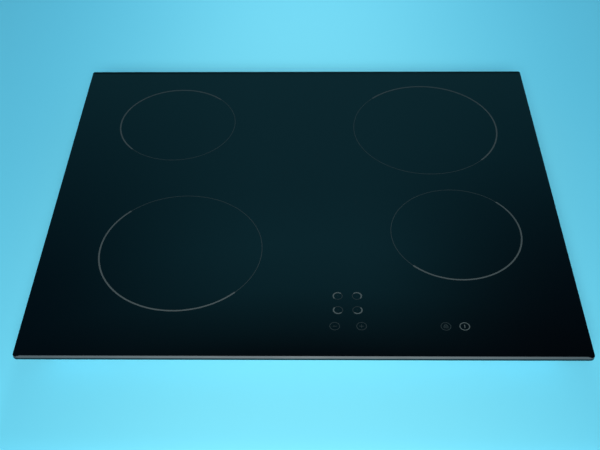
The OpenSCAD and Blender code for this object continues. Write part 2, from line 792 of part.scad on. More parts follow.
module terminal_box() {
    w = box_x1 - box_x0;
    inner = [w - 2 * moulding_t, box_depth - moulding_t + 1, box_top - sheet - moulding_t + 1];
    color([0.88, 0.88, 0.86]) {
        difference() {
            at(box_x0, box_y0, sheet) cube([w, box_depth, box_top - sheet]);
            at(box_x0 + moulding_t, box_y0 + moulding_t, sheet + moulding_t)
                cube([inner[0], inner[1], box_top - sheet - 2 * moulding_t]);
            // passage of the inner wires
            at(wire_hole_x, box_y0, wire_hole_z) cube([24, 4 * moulding_t, 8], center = true);
        }
        // wall between the terminals and the cable clamp, open above for the cable's cores
        at(0, box_y0 + moulding_t - eps, sheet + moulding_t - eps)
            cube([moulding_t, box_depth - 10, 12]);
        // ears that carry the cover, through the slots of the tray's rear wall
        for (side = [-1, 1]) at(cover_mid_x + side * (cover_w / 2 + 3), 0) hinge_ear();
        // posts and saddle of the cable clamp
        for (side = [-1, 1]) difference() {
            at(bush_x + side * bar_screw_x, bar_y, sheet + moulding_t - eps)
                cylinder(h = bar_z - sheet - moulding_t + eps, r = 3.2);
            at(bush_x + side * bar_screw_x, bar_y, bar_z - 10) cylinder(h = 11, r = 1.5 + slip / 2);
        }
        at(bush_x, bar_y, (sheet + moulding_t + bush_z - cable_r - 0.5) / 2)
            cube([12, 5, bush_z - cable_r - 0.5 - sheet - moulding_t + 2 * eps], center = true);
    }
}

module hinge_ear() {
    difference() {
        union() {
            at(-ear_w / 2, hinge_y, hinge_z) rotate([0, 90, 0]) cylinder(h = ear_w, r = ear_r);
            at(-ear_w / 2, box_y1 - 4, hinge_z - ear_r) cube([ear_w, hinge_y - box_y1 + 4, 2 * ear_r]);
        }
        at(-ear_w, hinge_y, hinge_z) rotate([0, 90, 0])
            cylinder(h = 2 * ear_w, r = hinge_pin_r + run_gap);
    }
}

module terminal_cover() {
    barrel_r = 2.6;
    plate_low = hinge_z;
    inside = wall_y + cover_gap;
    between_ears = cover_w + 6 - ear_w - 2 * rest_gap;
    color([0.16, 0.16, 0.17]) at(cover_mid_x, 0) {
        difference() {
            at(-cover_w / 2, inside, plate_low) cube([cover_w, cover_t, cover_top - plate_low + 3]);
            // finger notch
            at(0, inside + cover_t / 2, cover_top + 3) rotate([90, 0, 0])
                cylinder(h = 2 * cover_t, r = 6, center = true);
        }
        at(-between_ears / 2, hinge_y, hinge_z) rotate([0, 90, 0])
            cylinder(h = between_ears, r = barrel_r);
        at(-cover_w / 2 - 3 - ear_w / 2, hinge_y, hinge_z) rotate([0, 90, 0])
            cylinder(h = cover_w + 6 + ear_w, r = hinge_pin_r);
        // ribs on the outside
        for (i = [-3:3]) at(i * 9 - 0.6, inside + cover_t - eps, plate_low + 6)
            cube([1.2, 0.8, 18]);
    }
}

block_x = cover_mid_x;
block_y = box_y0 + 24;
block_z = sheet + moulding_t;
block_w = 70;
block_d = 20;
block_h = 16;
pole_pitch = 11.5;
POLES = [-2.5:1:2.5];

module terminal_block() {
    color([0.92, 0.9, 0.82]) difference() {
        at(block_x - block_w / 2, block_y - block_d / 2, block_z) cube([block_w, block_d, block_h]);
        for (i = POLES) {
            at(block_x + i * pole_pitch, block_y - 3, block_z + block_h - 6)
                cylinder(h = 7, r = pole_r + slip);
            at(block_x + i * pole_pitch, block_y + block_d / 2 - 6, block_z + 6) rotate([-90, 0, 0])
                cylinder(h = 7, r = 2.2);
        }
    }
}

pole_r = 3;
module terminal_screws() {
    color([0.8, 0.66, 0.3]) for (i = POLES)
        at(block_x + i * pole_pitch, block_y - 3, block_z + block_h - 6) difference() {
            cylinder(h = 5, r = pole_r);
            at(0, 0, 5) cube([7, 0.9, 2], center = true);
        }
}

bar_y = box_y1 - 20;
bar_z = bush_z + cable_r + 0.5;
bar_t = 3;
bar_screw_x = cable_r + 4;
module cable_bar() {
    color([0.2, 0.2, 0.21]) difference() {
        at(bush_x, bar_y, bar_z + bar_t / 2) cube([2 * bar_screw_x + 7, 7, bar_t], center = true);
        for (side = [-1, 1]) at(bush_x + side * bar_screw_x, bar_y, bar_z - 1)
            cylinder(h = bar_t + 2, r = 1.5 + slip);
    }
}

module cable_screws() {
    color([0.75, 0.75, 0.77]) for (side = [-1, 1]) at(bush_x + side * bar_screw_x, bar_y, bar_z - 8) {
        cylinder(h = 8 + bar_t + eps, r = 1.5);
        at(0, 0, 8 + bar_t) difference() {
            cylinder(h = 2, r = 3);
            at(0, 0, 2) for (turn = [0, 90]) rotate([0, 0, turn]) cube([3.6, 0.8, 2], center = true);
        }
    }
}

module cable_bush() {
    flange = 2;
    neck = 4;
    color([0.1, 0.1, 0.1]) difference() {
        at(bush_x, wall_y - sheet - neck, bush_z) rotate([-90, 0, 0]) {
            cylinder(h = neck + sheet + eps, r = bush_r);
            at(0, 0, neck + sheet) cylinder(h = flange, r = bush_r + 2);
        }
        at(bush_x, wall_y - 10, bush_z) rotate([-90, 0, 0]) cylinder(h = 20, r = cable_r);
    }
}

// ---------------------------------------------------------------- wires

lead_d = 2.4;
supply_d = 3;
board_tab_top = board_top + board_tab_h;
wire_hole_x = -40;
wire_hole_z = 24;

// From a limiter's tab, through chosen points, down onto a tab of the power board
module lead(zone, across, via, place) {
    start = lead_start(zone) + rest_gap;
    end = [board_x + TAB_PLACES[place], board_tab_y];
    wire(concat(
        [off_zone(zone, start, across, tab_z), off_zone(zone, start + 8, across, tab_z)],
        via,
        [[end[0], end[1], board_tab_top + 5], [end[0], end[1], board_tab_top]]), lead_d);
}

module rear_left_leads() {
    color([0.75, 0.2, 0.15]) {
        lead(REAR_LEFT, tab_apart / 2, [[-40, 84, 16], [-8, 58, 10], [9, 28, 14]], 3);
        lead(REAR_LEFT, -tab_apart / 2, [[-46, 72, 16], [-16, 50, 10], [3, 26, 14]], 2);
    }
}

module rear_right_leads() {
    color([0.2, 0.3, 0.7]) {
        lead(REAR_RIGHT, tab_apart / 2, [[24, 76, 14], [40, 52, 8], [43, 26, 12]], 5);
        lead(REAR_RIGHT, -tab_apart / 2, [[16, 84, 14], [32, 54, 8], [37, 28, 14]], 4);
    }
}

module front_left_leads() {
    color([0.85, 0.85, 0.82]) {
        lead(FRONT_LEFT, tab_apart / 2, [[-100, 46, 16], [-60, 42, 6], [-24, 30, 8], [-10, 18, 14]], 1);
        lead(FRONT_LEFT, -tab_apart / 2, [[-90, 38, 16], [-56, 34, 6], [-28, 22, 8], [-16, 14, 14]], 0);
    }
}

module front_right_leads() {
    color([0.2, 0.2, 0.2]) {
        lead(FRONT_RIGHT, tab_apart / 2, [[92, 22, 16], [78, 22, 9], [66, 18, 14]], 7);
        lead(FRONT_RIGHT, -tab_apart / 2, [[94, 32, 16], [76, 33, 9], [60, 24, 14]], 6);
    }
}

module supply_wires() {
    color([0.5, 0.3, 0.18]) for (i = [0:2]) {
        pole = block_x + (POLES_AT[i]) * pole_pitch;
        hole_x = wire_hole_x - 5 + i * 5;
        wire([[pole, block_y - block_d / 2, block_z + 8],
              [pole, block_y - block_d / 2 - 5, block_z + 8],
              [hole_x, box_y0 + 2, wire_hole_z], [hole_x, box_y0 - 10, 20],
              [-42 + i * 6, 140, 6], [-24 + i * 6, 96, 6], [0 + i * 6, 60, 5], [15 + i * 6, 30, 8],
              [board_x - 4 + i * 4, board_tab_y, board_tab_top + 5],
              [board_x - 4 + i * 4, board_tab_y, board_tab_top]], supply_d);
    }
}
POLES_AT = [-1.5, -0.5, 0.5];

earth_x = -20;
earth_y = 160;
module earth_wire() {
    pole = block_x + 1.5 * pole_pitch;
    color([0.35, 0.6, 0.2]) {
        wire([[pole, block_y - block_d / 2, block_z + 8],
              [pole, block_y - block_d / 2 - 5, block_z + 8],
              [wire_hole_x + 10, box_y0 + 2, wire_hole_z], [wire_hole_x + 11, box_y0 - 8, 18],
              [earth_x, earth_y + 12, 4], [earth_x, earth_y + 6, 2.6],
              [earth_x, earth_y + 3, 2.6]], supply_d);
        at(earth_x, earth_y, sheet) cylinder(h = 3.5, r = 4);
        at(earth_x, earth_y, 0.1) cylinder(h = 1, r = 2);
    }
}

// Flat cable from the power board, through the heat shield, up to the touch board
module ribbon_cable() {
    cable_t = 1;
    turn_y = carrier_y1 - 11;
    start_y = board_y - board_d / 2 + 8;
    color([0.75, 0.75, 0.73]) {
        at(board_x - cable_w / 2, start_y - 6, board_top)
            cube([cable_w, 6, cable_z - board_top + cable_t]);
        at(board_x - cable_w / 2, turn_y, cable_z) cube([cable_w, start_y - turn_y, cable_t]);
        at(board_x - cable_w / 2, turn_y, cable_z) cube([cable_w, cable_t, touch_board_z - cable_z]);
    }
}

// ---------------------------------------------------------------- heater nodes

module rear_left_dish() heater_dish(REAR_LEFT);
module rear_left_base() heater_base(REAR_LEFT);
module rear_left_rim() heater_rim(REAR_LEFT);
module rear_left_ribbon() heater_ribbon(REAR_LEFT);
module rear_left_limiter() heater_limiter(REAR_LEFT);
module rear_left_springs() heater_springs(REAR_LEFT);
module rear_right_dish() heater_dish(REAR_RIGHT);
module rear_right_base() heater_base(REAR_RIGHT);
module rear_right_rim() heater_rim(REAR_RIGHT);
module rear_right_ribbon() heater_ribbon(REAR_RIGHT);
module rear_right_limiter() heater_limiter(REAR_RIGHT);
module rear_right_springs() heater_springs(REAR_RIGHT);
module front_left_dish() heater_dish(FRONT_LEFT);
module front_left_base() heater_base(FRONT_LEFT);
module front_left_rim() heater_rim(FRONT_LEFT);
module front_left_ribbon() heater_ribbon(FRONT_LEFT);
module front_left_limiter() heater_limiter(FRONT_LEFT);
module front_left_springs() heater_springs(FRONT_LEFT);
module front_right_dish() heater_dish(FRONT_RIGHT);
module front_right_base() heater_base(FRONT_RIGHT);
module front_right_rim() heater_rim(FRONT_RIGHT);
module front_right_ribbon() heater_ribbon(FRONT_RIGHT);
module front_right_limiter() heater_limiter(FRONT_RIGHT);
module front_right_springs() heater_springs(FRONT_RIGHT);

glass_panel();
zone_print();
control_print();
worktop_gasket();
silicone_bond();
glass_frame();
tray();
tray_screws();
rear_left_dish();
rear_left_base();
rear_left_rim();
rear_left_ribbon();
rear_left_limiter();
rear_left_springs();
rear_left_leads();
rear_right_dish();
rear_right_base();
rear_right_rim();
rear_right_ribbon();
rear_right_limiter();
rear_right_springs();
rear_right_leads();
front_left_dish();
front_left_base();
front_left_rim();
front_left_ribbon();
front_left_limiter();
front_left_springs();
front_left_leads();
front_right_dish();
front_right_base();
front_right_rim();
front_right_ribbon();
front_right_limiter();
front_right_springs();
front_right_leads();
touch_carrier();
touch_board();
touch_pads();
displays();
heat_shield();
board_base();
power_board();
relays();
power_parts();
terminal_box();
terminal_block();
terminal_screws();
terminal_cover();
cable_bush();
cable_bar();
cable_screws();
rear_left_clamp();
rear_right_clamp();
front_left_clamp();
front_right_clamp();
clamp_screws();
supply_wires();
earth_wire();
ribbon_cable();
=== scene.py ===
# %% [markdown]
# # A built-in glass-ceramic hob
# This lesson dresses the exact solids of a four-zone electric hob. The frame holds every solid at its real
# size and place. Each cell below either makes pieces that the frame leaves plain, or gives finishes, and
# everything is in metres.

# %% Load the frame
import bpy
import json
import math
import numpy as np
from mathutils import Matrix, Vector


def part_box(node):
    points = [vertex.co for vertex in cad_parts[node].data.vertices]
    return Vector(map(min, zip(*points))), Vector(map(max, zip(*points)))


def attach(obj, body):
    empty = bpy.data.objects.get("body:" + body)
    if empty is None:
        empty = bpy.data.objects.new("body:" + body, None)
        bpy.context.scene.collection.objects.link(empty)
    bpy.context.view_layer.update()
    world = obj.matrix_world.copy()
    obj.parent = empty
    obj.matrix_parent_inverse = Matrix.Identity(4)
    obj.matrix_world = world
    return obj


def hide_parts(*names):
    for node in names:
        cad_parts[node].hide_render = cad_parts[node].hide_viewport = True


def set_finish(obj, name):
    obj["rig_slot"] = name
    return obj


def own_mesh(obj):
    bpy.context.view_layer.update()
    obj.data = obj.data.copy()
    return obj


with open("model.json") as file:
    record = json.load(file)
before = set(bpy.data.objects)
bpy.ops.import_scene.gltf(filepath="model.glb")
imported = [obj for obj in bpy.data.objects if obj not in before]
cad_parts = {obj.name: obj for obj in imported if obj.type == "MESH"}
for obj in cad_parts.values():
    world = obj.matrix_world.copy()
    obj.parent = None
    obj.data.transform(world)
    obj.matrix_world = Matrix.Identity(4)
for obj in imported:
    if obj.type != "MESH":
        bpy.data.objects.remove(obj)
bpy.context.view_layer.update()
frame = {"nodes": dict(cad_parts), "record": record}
MM = 0.001

# %% [markdown]
# ## The camera
# The hob is seen from the user's side, from a little right of its middle and about 0.8 m up. Three angles
# could turn the camera. Three unit vectors are used, because they need no order of turns: they say where
# its right, its top and its back point, and they are the columns of its matrix.

# %% Camera
camera = bpy.data.objects.new("camera", bpy.data.cameras.new("camera"))
bpy.context.scene.collection.objects.link(camera)
bpy.context.scene.camera = camera
camera.data.lens = 58.95
camera.data.sensor_width = 36.0
forward = Vector((-0.0147, 0.7285, -0.6849)).normalized()
right = Vector((0.9999, 0.0111, -0.0096))
right = (right - forward * right.dot(forward)).normalized()
top = right.cross(forward)
camera.matrix_world = Matrix.Translation((0.0121, -0.8907, 0.8332)) @ Matrix(
    (right, top, -forward)).transposed().to_4x4()
print("camera at", tuple(round(v, 3) for v in camera.matrix_world.translation))

# %% [markdown]
# ## Helpers for meshes
# Every new piece is a sheet of points with two parameters: one runs along a profile and the other runs round
# and closes on itself. The sheet becomes quads, and a closed profile closes it the other way too. Blender's
# own curves with a bevel could do some of this, but a sheet says exactly where each point lies.

# %% Sheets of points into meshes
def sheet_faces(rows, cols, close_rows=False):
    """Quads between neighbouring points: corner (i, j) is point i * cols + j, taken with its right, upper
    right and upper neighbours. The last column meets the first, and so does the last row if it is told to."""
    i, j = np.meshgrid(np.arange(rows if close_rows else rows - 1), np.arange(cols), indexing="ij")
    n, m = (i + 1) % rows, (j + 1) % cols
    return np.stack([i * cols + j, i * cols + m, n * cols + m, n * cols + j], -1).reshape(-1, 4)


def new_piece(name, points, faces, sharp_deg=40):
    """A mesh object at the origin from points (N, 3) in metres and lists of point numbers. Faces turn
    smoothly into each other except across edges sharper than sharp_deg."""
    mesh = bpy.data.meshes.new(name)
    mesh.from_pydata(np.asarray(points).tolist(), [], [list(map(int, f)) for f in faces])
    mesh.validate()
    mesh.shade_smooth()
    mesh.set_sharp_from_angle(angle=math.radians(sharp_deg))
    piece = bpy.data.objects.new(name, mesh)
    bpy.context.scene.collection.objects.link(piece)
    print(name, len(mesh.vertices), "points", len(mesh.polygons), "faces")
    return piece


def place(piece, body, slot, *nodes):
    """The piece rides on a body, takes its finish from a slot and stands for the named solids."""
    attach(piece, body)
    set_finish(piece, slot)
    if nodes:
        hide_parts(*nodes)
    return piece


# %% [markdown]
# ## A profile carried round a rectangle
# Glass, gasket and silicone all follow one outline: a rectangle with rounded corners. The outline is a list
# of points with the way inwards at each. A profile is a list of (inset, height), and carrying it round puts
# each profile point that far in from each outline point. A box with a Bevel modifier would be quicker, but
# it needs a weight on every edge before its front and rear corners can differ.

# %% Outline and carrying
def outline(width, depth, front_r, rear_r, arc_steps, edge_steps):
    """Points round a rounded rectangle, anticlockwise from above, with the unit vector inwards at each.
    Each corner is a quarter circle, point = centre + r (cos a, sin a). Along a side the share is
    (1 - cos(pi k / steps)) / 2, so that the points crowd towards the corners."""
    centres, radii = [], []
    for x, y, r in ((1, -1, front_r), (1, 1, rear_r), (-1, 1, rear_r), (-1, -1, front_r)):
        centres.append((x * (width / 2 - r), y * (depth / 2 - r)))
        radii.append(r)
    points, inward = [], []
    for k in range(4):
        a = np.radians(np.linspace(-90, 0, arc_steps) + 90 * k)
        out = np.stack([np.cos(a), np.sin(a)], -1)
        points.append(np.array(centres[k]) + radii[k] * out)
        inward.append(-out)
        end = points[-1][-1]
        following = np.array(centres[(k + 1) % 4]) + radii[(k + 1) % 4] * out[-1]
        t = (1 - np.cos(np.pi * np.linspace(0, 1, edge_steps + 1)[1:-1, None])) / 2
        points.append(end + (following - end) * t)
        inward.append(np.repeat(-out[-1:], edge_steps - 1, 0))
    return np.concatenate(points), np.concatenate(inward)


def carry(profile, path):
    """Profile points (inset, z) carried round an outline: point = outline + inset * inwards, at height z."""
    points, inward = path
    profile = np.asarray(profile, float)
    plan = points[None] + inward[None] * profile[:, 0, None, None]
    z = np.broadcast_to(profile[:, 1, None, None], plan.shape[:2] + (1,))
    return np.concatenate([plan, z], -1)


# %% [markdown]
# ## The glass
# The panel is 4 mm of black glass-ceramic. Its front edge has a wide shallow bevel, and its other edges are
# ground straight with the two arrises broken. The rolled top is flat. The bevel could be a second profile
# for the front side. It is one plane instead, which cuts the top off near the front, so a point's height is
# the lower of the profile and of that plane. The grinding wheel lifts off before the two front corners, so
# the plane rises there.

# %% Glass panel
low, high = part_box("glass_panel")
GLASS_W, GLASS_D = high.x - low.x, high.y - low.y
FRONT_R, REAR_R, ARRIS = 5 * MM, 3 * MM, 0.55 * MM
BEVEL_RUN, BEVEL_DROP = 2.3 * MM, 1.1 * MM
LIFT_FROM, LIFT_OVER = 7 * MM, 5 * MM     # distance from a side where the wheel starts to lift, and its run
SHEET_IN = 4.5 * MM                       # the flat sheets of the top and the bottom start this far in
TOP = high.z - 0.04 * MM                  # the fired print stands this little above the glass

quarter = np.radians(np.linspace(0, 90, 5))
under = np.stack([ARRIS * (1 - np.sin(quarter)), low.z + ARRIS * (1 - np.cos(quarter))], -1)
over = np.stack([ARRIS * (1 - np.cos(quarter)), TOP - ARRIS * (1 - np.sin(quarter))], -1)
upright = np.stack([np.zeros(3), np.linspace(low.z + ARRIS, TOP - BEVEL_DROP, 4)[1:]], -1)
steps = np.append(np.linspace(0.8, 3.2, 13) * MM, SHEET_IN)     # close enough to draw the bevel's upper edge
inner = np.stack([steps, np.full(len(steps), TOP)], -1)
skin = carry(np.concatenate([[[SHEET_IN, low.z]], under, upright, over, inner]),
             outline(GLASS_W, GLASS_D, FRONT_R, REAR_R, 24, 80))
lift = np.clip((np.abs(skin[..., 0]) - GLASS_W / 2 + LIFT_FROM) / LIFT_OVER, 0, 1) * BEVEL_DROP
bevel_plane = TOP - BEVEL_DROP + lift + (skin[..., 1] + GLASS_D / 2) * BEVEL_DROP / BEVEL_RUN
skin[..., 2] = np.minimum(skin[..., 2], bevel_plane)
rows, cols = skin.shape[:2]
faces = [list(f) for f in sheet_faces(rows, cols)]
faces += [list(range(cols))[::-1], list(range((rows - 1) * cols, rows * cols))]
glass = place(new_piece("glass", skin.reshape(-1, 3), faces, 25), "hob", "black_glass", "glass_panel")

# %% [markdown]
# ## The fired decoration
# Each zone is a printed ring with a broad half towards its own corner of the hob and a fine half inwards.
# The keys are smaller rings with a symbol. A print could be a pattern in the glass's material, but a mesh
# keeps its edge sharp at any size of picture. It is a flat band, so one function makes a band with a small
# height between two radii, and another makes a straight bar.

# %% Bands and bars
PRINT_TOP = high.z
PRINT_LOW = high.z - 0.09 * MM


def band(x, y, r, line, middle=0.0, span=360.0, step_deg=4.0):
    """A flat band of width line along a circle: point = centre + rho (cos a, sin a), where rho goes round
    the band's four corners and a runs over the span."""
    n = max(8, int(span / step_deg))
    a = np.radians(np.linspace(middle - span / 2, middle + span / 2, n + 1))
    rho = np.array([r - line / 2, r + line / 2, r + line / 2, r - line / 2])
    z = np.array([PRINT_LOW, PRINT_LOW, PRINT_TOP, PRINT_TOP])
    if span >= 360:
        a = a[:-1]
    points = np.stack([x + rho[None] * np.cos(a)[:, None], y + rho[None] * np.sin(a)[:, None],
                       np.broadcast_to(z, (len(a), 4))], -1).reshape(-1, 3)
    faces = [list(f) for f in sheet_faces(len(a), 4, close_rows=span >= 360)]
    if span < 360:
        last = 4 * (len(a) - 1)
        faces += [[0, 3, 2, 1], [last, last + 1, last + 2, last + 3]]
    return points, [f[::-1] for f in faces]


def bar(x, y, w, d):
    """A flat block of the print's height, w by d, about a point."""
    corners = np.array([[-1, -1], [1, -1], [1, 1], [-1, 1]]) * [w / 2, d / 2] + [x, y]
    points = np.concatenate([np.c_[corners, np.full(4, PRINT_LOW)], np.c_[corners, np.full(4, PRINT_TOP)]])
    sides = [[k, (k + 1) % 4, 4 + (k + 1) % 4, 4 + k] for k in range(4)]
    return points, sides + [[3, 2, 1, 0], [4, 5, 6, 7]]


def together(parts):
    """Several (points, faces) as one, each part's point numbers moved past those before it."""
    points, faces, count = [], [], 0
    for p, f in parts:
        points.append(p)
        faces += [[v + count for v in face] for face in f]
        count += len(p)
    return np.concatenate(points), faces


# %% Zone rings
ZONES = {   # x, y, heated diameter in mm, middle of the broad half in degrees
    "rear_left": (-166.5, 136.0, 145, 135), "rear_right": (155.3, 126.3, 180, 45),
    "front_left": (-139.5, -99.0, 180, 225), "front_right": (175.0, -70.4, 145, 315)}
RING_OUTSET = 2.2     # from the heated circle to the line's middle, in mm
HALVES = {"broad_arcs": (1.8 * MM, 0), "fine_arcs": (0.6 * MM, 180)}     # line width, turn from broad half
arcs = {}
for name, (line, turn) in HALVES.items():
    parts = [band(x * MM, y * MM, (heated / 2 + RING_OUTSET) * MM, line, middle + turn, 180, 0.75)
             for x, y, heated, middle in ZONES.values()]
    arcs[name] = place(new_piece(name, *together(parts)), "hob", "grey_print", "zone_print")

# %% Key symbols
KEY_LINE, BROAD_LINE, POWER_LINE, KEY_BAR = 0.7 * MM, 1.4 * MM, 0.9 * MM, 4.6 * MM
ZONE_KEY_R, DOT_R, DOT_LINE = 4.9 * MM, 0.2 * MM, 0.3 * MM
LOW_Y, LOW_R = -212.4 * MM, 5.5 * MM     # the lower row of keys
MINUS_X, PLUS_X, LOCK_X, POWER_X = 33.4 * MM, 61.6 * MM, 149.8 * MM, 169.5 * MM
broad_parts, fine_parts = [], []
for x, y, middle in ((37.3, -189.8, 225), (37.3, -169.5, 135), (57.9, -189.8, 315), (57.9, -169.5, 45)):
    broad_parts.append(band(x * MM, y * MM, ZONE_KEY_R, BROAD_LINE, middle, 180))
    fine_parts.append(band(x * MM, y * MM, ZONE_KEY_R, KEY_LINE, middle + 180, 180))
    fine_parts.append(band(x * MM, y * MM, DOT_R, DOT_LINE, step_deg=30))
for x in (MINUS_X, PLUS_X, LOCK_X):
    fine_parts.append(band(x, LOW_Y, LOW_R - KEY_LINE / 2, KEY_LINE))
for x in (MINUS_X, PLUS_X):
    fine_parts.append(bar(x, LOW_Y, KEY_BAR, KEY_LINE))
for side in (-1, 1):
    stub_y = LOW_Y + side * (KEY_BAR + KEY_LINE) / 4
    fine_parts.append(bar(PLUS_X, stub_y, KEY_LINE, (KEY_BAR - KEY_LINE) / 2))
power_parts = [band(POWER_X, LOW_Y, LOW_R - POWER_LINE / 2, POWER_LINE),
               bar(POWER_X, LOW_Y, POWER_LINE, KEY_BAR)]

# %% Lock symbol
LOCK_W, LOCK_H, LOCK_TOP, SHACKLE_R = 4.8 * MM, 3.4 * MM, LOW_Y + 1.0 * MM, 1.5 * MM
for dx, dy, w, d in ((0, -KEY_LINE / 2, LOCK_W, KEY_LINE),
                     (0, KEY_LINE / 2 - LOCK_H, LOCK_W, KEY_LINE),
                     ((KEY_LINE - LOCK_W) / 2, -LOCK_H / 2, KEY_LINE, LOCK_H - 2 * KEY_LINE),
                     ((LOCK_W - KEY_LINE) / 2, -LOCK_H / 2, KEY_LINE, LOCK_H - 2 * KEY_LINE),
                     (0, -LOCK_H / 2, KEY_LINE, 0.4 * LOCK_H)):
    fine_parts.append(bar(LOCK_X + dx, LOCK_TOP + dy, w, d))
fine_parts.append(band(LOCK_X, LOCK_TOP, SHACKLE_R, KEY_LINE, 90, 180, 10))
key_arcs = place(new_piece("key_arcs", *together(broad_parts)), "hob", "grey_print", "control_print")
key_symbols = place(new_piece("key_symbols", *together(fine_parts)), "hob", "grey_print", "control_print")
power_symbol = place(new_piece("power_symbol", *together(power_parts)), "hob", "grey_print")

# %% [markdown]
# ## Gasket and silicone
# The foam strip under the glass's rim bulges a little where it is pressed, and the silicone that bonds the
# glass to its frame has a hollow bead at each side. A curve with a bevel object could make them, but its
# seam would show. Both are closed profiles carried round, whose sides are parabolas.

# %% Foam gasket and silicone bead
def closed_ring(name, profile, path):
    """A closed profile carried round a closed outline: a ring with no ends."""
    points = carry(profile, path)
    return new_piece(name, points.reshape(-1, 3),
                     sheet_faces(len(profile), len(path[0]), close_rows=True), 50)


u = np.linspace(-1, 1, 7)
low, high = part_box("worktop_gasket")
wide, tall, bulge, corner_r = 6 * MM, high.z - low.z, 0.35 * MM, 4 * MM
middle_z = (low.z + high.z) / 2
outer = np.stack([bulge * u ** 2, middle_z - u * tall / 2 * 0.98], -1)
inner = np.stack([wide - bulge * u ** 2, middle_z + u * tall / 2 * 0.98], -1)
path = outline(high.x - low.x, high.y - low.y, corner_r, corner_r, 8, 30)
foam_gasket = place(closed_ring("foam_gasket", np.concatenate([outer, inner])[::-1], path), "hob",
                    "gasket_foam", "worktop_gasket")

low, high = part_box("silicone_bond")
wide, tall, hollow, corner_r = 8 * MM, high.z - low.z, 0.5 * MM, 8 * MM
middle_z = (low.z + high.z) / 2
outer = np.stack([hollow * (1 - u ** 2), middle_z - u * tall / 2], -1)
inner = np.stack([wide - hollow * (1 - u ** 2), middle_z + u * tall / 2], -1)
path = outline(high.x - low.x, high.y - low.y, corner_r, corner_r, 8, 30)
silicone_bead = place(closed_ring("silicone_bead", np.concatenate([outer, inner])[::-1], path), "hob",
                      "silicone", "silicone_bond")

# %% [markdown]
# ## Screws with a drive
# A screw head is a disc of rings and spokes whose height is a dome less its recess. The recess could be cut
# with a Boolean, but as a function of the place on the head it leaves clean quads: a cross for the frame
# screws, a hexagon for the clamp screws.

# %% Screw heads
def head_sheet(radius, height, shank_r, shank_l, recess, dome, rings, spokes):
    """A screw about +Z with its seat at z = 0. Along the profile: head middle to rim, rim down, under the
    head and down the shank. The top is z = height - dome (r / radius) squared - recess(x, y), and the rim
    falls from there in three small steps."""
    a = np.linspace(0, 2 * np.pi, spokes, endpoint=False)
    r = np.linspace(0.03, 0.9, rings) * radius
    rim = radius * np.array([0.96, 0.99, 1.0, 1.0])
    rr = np.concatenate([r, rim])[:, None]
    x, y = rr * np.cos(a), rr * np.sin(a)
    z = height - dome * (rr / radius) ** 2 - recess(x, y)
    edge = height - dome
    z[-4:] = np.array([edge, edge - 0.06 * height, edge - 0.16 * height, 0.0])[:, None]
    lower = np.array([[shank_r, 0.0], [shank_r, -shank_l], [0.2 * shank_r, -shank_l]])
    low_r = np.repeat(lower[:, :1], spokes, 1)
    x = np.concatenate([x, low_r * np.cos(a)])
    y = np.concatenate([y, low_r * np.sin(a)])
    z = np.concatenate([z, np.repeat(lower[:, 1:], spokes, 1)])
    rows = len(x)
    faces = [list(f)[::-1] for f in sheet_faces(rows, spokes)]
    faces += [list(range(spokes)), list(range((rows - 1) * spokes, rows * spokes))[::-1]]
    return np.stack([x, y, z], -1).reshape(-1, 3), faces


def cross_recess(arm, half, depth):
    """A cross that gets shallower outwards: depth where a point lies within half of either axis and within
    arm of the middle, times two straight ramps for its sloping walls and ends."""
    def at(x, y):
        near = np.minimum(np.abs(x), np.abs(y))
        far = np.maximum(np.abs(x), np.abs(y))
        wall = np.clip((half - near) / (0.3 * half) + 0.5, 0, 1)
        end = np.clip((arm - far) / (0.35 * arm), 0, 1)
        return depth * wall * end
    return at


def hex_recess(flat, depth):
    """A hexagon across flats: the distance to the nearest flat decides, with a short soft wall."""
    def at(x, y):
        a = np.radians(np.arange(0, 360, 60))
        reach = np.max(x[..., None] * np.cos(a) + y[..., None] * np.sin(a), -1)
        return depth * np.clip((flat / 2 - reach) / (0.06 * flat) + 0.5, 0, 1)
    return at


def turned(points, axis, origin):
    """Points about +Z turned so that +Z goes along axis, then moved to origin."""
    turn = Vector((0, 0, 1)).rotation_difference(Vector(axis)).to_matrix()
    return points @ np.array(turn).T + np.array(origin)


# %% Frame screws
HEAD_R, HEAD_H, HEAD_DOME, THREAD_R, THREAD_L = 3.5 * MM, 2.0 * MM, 0.55 * MM, 1.6 * MM, 3.4 * MM
SKIRT_X, SKIRT_Y, SCREW_Z = 273.1 * MM, 235.1 * MM, 39.4 * MM     # the tray's walls, and the row of screws
cross = cross_recess(2.3 * MM, 0.42 * MM, 1.1 * MM)
head_points, head_faces = head_sheet(HEAD_R, HEAD_H, THREAD_R, THREAD_L, cross, HEAD_DOME, 22, 64)
spots = [((s, 0, 0), (s * SKIRT_X, y * MM, SCREW_Z)) for s in (-1, 1) for y in (-110, 110)]
spots += [((0, s, 0), (x * MM, s * SKIRT_Y, SCREW_Z)) for s in (-1, 1) for x in (-190, 100, 190)]
parts = [(turned(head_points, axis, origin), head_faces) for axis, origin in spots]
frame_screws = place(new_piece("frame_screws", *together(parts), 50), "hob", "screw_steel", "tray_screws")

